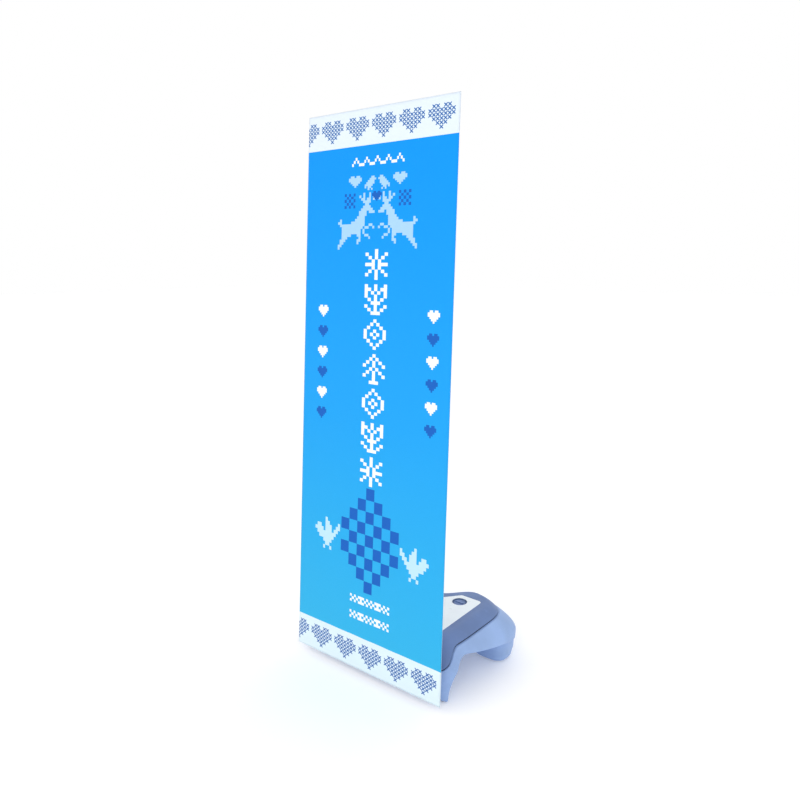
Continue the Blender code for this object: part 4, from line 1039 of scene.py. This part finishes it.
def sewing():
    """The hem's stitches behind the sheet, and those along the sewn edges of the pockets."""

    def on_back(u, v, height):
        return sheet_point(u, v, SHEET_THICKNESS + height)

    def on_pocket(side, end):
        def spot(a, b, height):
            u = SHEET_WIDTH / 2 + side * (SHEET_WIDTH / 2 - a)
            v = SHEET_HEIGHT / 2 - end * (SHEET_HEIGHT / 2 - b)
            return sheet_point(u, v, pocket_depth(a, b) + height)

        return spot

    bm = bmesh.new()
    clear_x, clear_z = POCKET_WIDTH + ROW_CLEARANCE, POCKET_HEIGHT + ROW_CLEARANCE
    for u in (HEM, SHEET_WIDTH - HEM):
        stitches(bm, (u, clear_z), (u, SHEET_HEIGHT - clear_z), on_back)
    for v in (HEM, SHEET_HEIGHT - HEM):
        stitches(bm, (clear_x, v), (SHEET_WIDTH - clear_x, v), on_back)
    for side in (1, -1):
        for end in (1, -1):
            spot = on_pocket(side, end)
            for row in ROW_INSETS:
                stitches(bm, (row, row), (row, POCKET_HEIGHT - ROW_INSETS[0]), spot)
                stitches(bm, (row, row), (POCKET_WIDTH - ROW_INSETS[0], row), spot)
    return piece("sewing", mesh_from(bm, "sewing"), THREAD_CLOTH, 40)


# ---------------------------------------- assembly

CAD_FINISHES = {  # of the nodes that stay visible
    NYLON: ("guide_bush", "clamp_", "mast_bush", "hub_", "arm_hub_", "twist_lock_", "arm_tip_"),
    ZINC: ("mast_socket", "socket_screw_", "spring_plug_", "lever_pin", "pivot_bolt"),
    ALUMINIUM: ("mast_tube_", "arm_tube_"),
    GLASS_ROD: ("arm_rod_",),
    RUBBER: ("cap_seal", "drain_seal", "foot_pad_"),
    CAP: ("fill_cap", "drain_plug"),
}
for finish, starts in CAD_FINISHES.items():
    for name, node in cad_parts.items():
        if name.startswith(starts):
            for spot in node.material_slots:
                spot.material = finish

BASE_SHELLS = (
    (tank_shell(), "tank_body", "tank_plastic"),
    (cover_shell(), "top_cover", "cover_plastic"),
    (inlay(1, "right"), "panel_right", "panel_plastic"),
    (inlay(-1, "left"), "panel_left", "panel_plastic"),
)
# the seam's painted shadow, a dark strip in the gap between cover and tank
strip = seam_shadow_strip()
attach(strip, "base")
for shell, node, finish_slot in BASE_SHELLS:
    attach(shell, "base")
    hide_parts(node)

middle = on_mast(0, 0, SPRING_MIDDLE)
lower_grip = on_mast(0, 0, SPRING_START + SPRING_GRIP)
upper_grip = on_mast(0, 0, 2 * SPRING_MIDDLE - SPRING_START - SPRING_GRIP)
coils = (
    (half_coil("coil_lower", 0), "base", "spring", lower_grip, middle),
    (half_coil("coil_upper", SPRING_TURNS / 2), "spring", "mast_lower", middle, upper_grip),
)
for coil, below, above, start, end in coils:
    tuple(start)
    tuple(end)
    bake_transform(coil)
    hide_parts("flex_spring")

sheet = printed_sheet()
applied(sheet)
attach(sheet, "mast_upper")
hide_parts("banner_sheet")
on_sheet = [sewing()]
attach(on_sheet[0], "mast_upper")
for vertical, end in (("upper", 1), ("lower", -1)):
    for horizontal, side in (("right", 1), ("left", -1)):
        label = f"{vertical}_{horizontal}"
        pocket = corner_pocket(label, side, end)
        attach(pocket, "mast_upper")
        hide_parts(f"corner_pocket_{label}")
        on_sheet.append(pocket)
for cloth_piece in (sheet, *on_sheet):
    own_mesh(cloth_piece)

# ---------------------------------------- floor, light and camera


FLOOR_SIZE = 60
SKY_SPAN, SKY_DARKEST = 1.3, 0.72


def stage():
    """A pale floor, and a pale surround that is dimmer on the side away from the sheet's front."""
    bpy.ops.mesh.primitive_plane_add(size=FLOOR_SIZE)
    ground = bpy.context.object
    ground.name = "floor"
    made = Finish("floor_paper", (250, 250, 251), 0.9, Specular_IOR_Level=0.1, Emission_Strength=0.14)
    made.set(made.shader, **{"Emission Color": (1, 1, 1, 1)})
    speckle = made.noise(scale=3.0)
    made.paint(made.mix(speckle, linear((248, 248, 249)), linear((252, 252, 253))))
    ground.data.materials.append(made.material)
    ground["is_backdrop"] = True
    world = bpy.data.worlds.new("studio")
    world.use_nodes = True
    nodes, links = world.node_tree.nodes, world.node_tree.links
    sky = nodes.new("ShaderNodeTexCoord").outputs["Generated"]
    split = nodes.new("ShaderNodeSeparateXYZ")
    links.new(sky, split.inputs[0])
    facing = nodes.new("ShaderNodeMath")
    facing.operation = "SUBTRACT"
    for axis in (0, 1):
        links.new(split.outputs[axis], facing.inputs[axis])
    ramp = nodes.new("ShaderNodeMapRange")
    ramp.interpolation_type = "SMOOTHSTEP"
    for socket, number in zip(list(ramp.inputs)[1:5], (0.0, SKY_SPAN, 1.0, SKY_DARKEST)):
        socket.default_value = number
    links.new(facing.outputs[0], ramp.inputs["Value"])
    links.new(ramp.outputs["Result"], nodes["Background"].inputs["Color"])
    nodes["Background"].inputs["Strength"].default_value = 1.0
    bpy.context.scene.world = world


def area_light(name, power, size, location, target):
    light = bpy.data.lights.new(name, "AREA")
    light.energy = power
    light.size = size
    made = linked(name, light)
    made.location = location
    made.rotation_euler = (Vector(target) - Vector(location)).to_track_quat("-Z", "Y").to_euler()


CAMERA_PLACE = (1.4425, -1.8915, 1.3617)
CAMERA_YAW = 0.6648
CAMERA_PITCH = 0.1044
CAMERA_LENS, CAMERA_SENSOR, CAMERA_SHIFT = 31.6, 36.0, -0.08


def camera():
    lens = bpy.data.cameras.new("camera")
    lens.lens = CAMERA_LENS
    lens.sensor_width = CAMERA_SENSOR
    lens.shift_y = CAMERA_SHIFT
    made = linked("camera", lens)
    made.location = CAMERA_PLACE
    made.rotation_euler = (pi / 2 - CAMERA_PITCH, 0, CAMERA_YAW)
    bpy.context.scene.camera = made


stage()
area_light("key", 10, 2.0, (-1.2, -3.2, 2.6), (0.1, 0, 0.6))
area_light("side", 22, 1.6, (1.7, -3.2, 1.9), (0.3, 0, 0.3))
camera()
bpy.context.scene.view_settings.view_transform = "Standard"

boxes = [[list(corner) for corner in box] for box in (cad_box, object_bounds())]
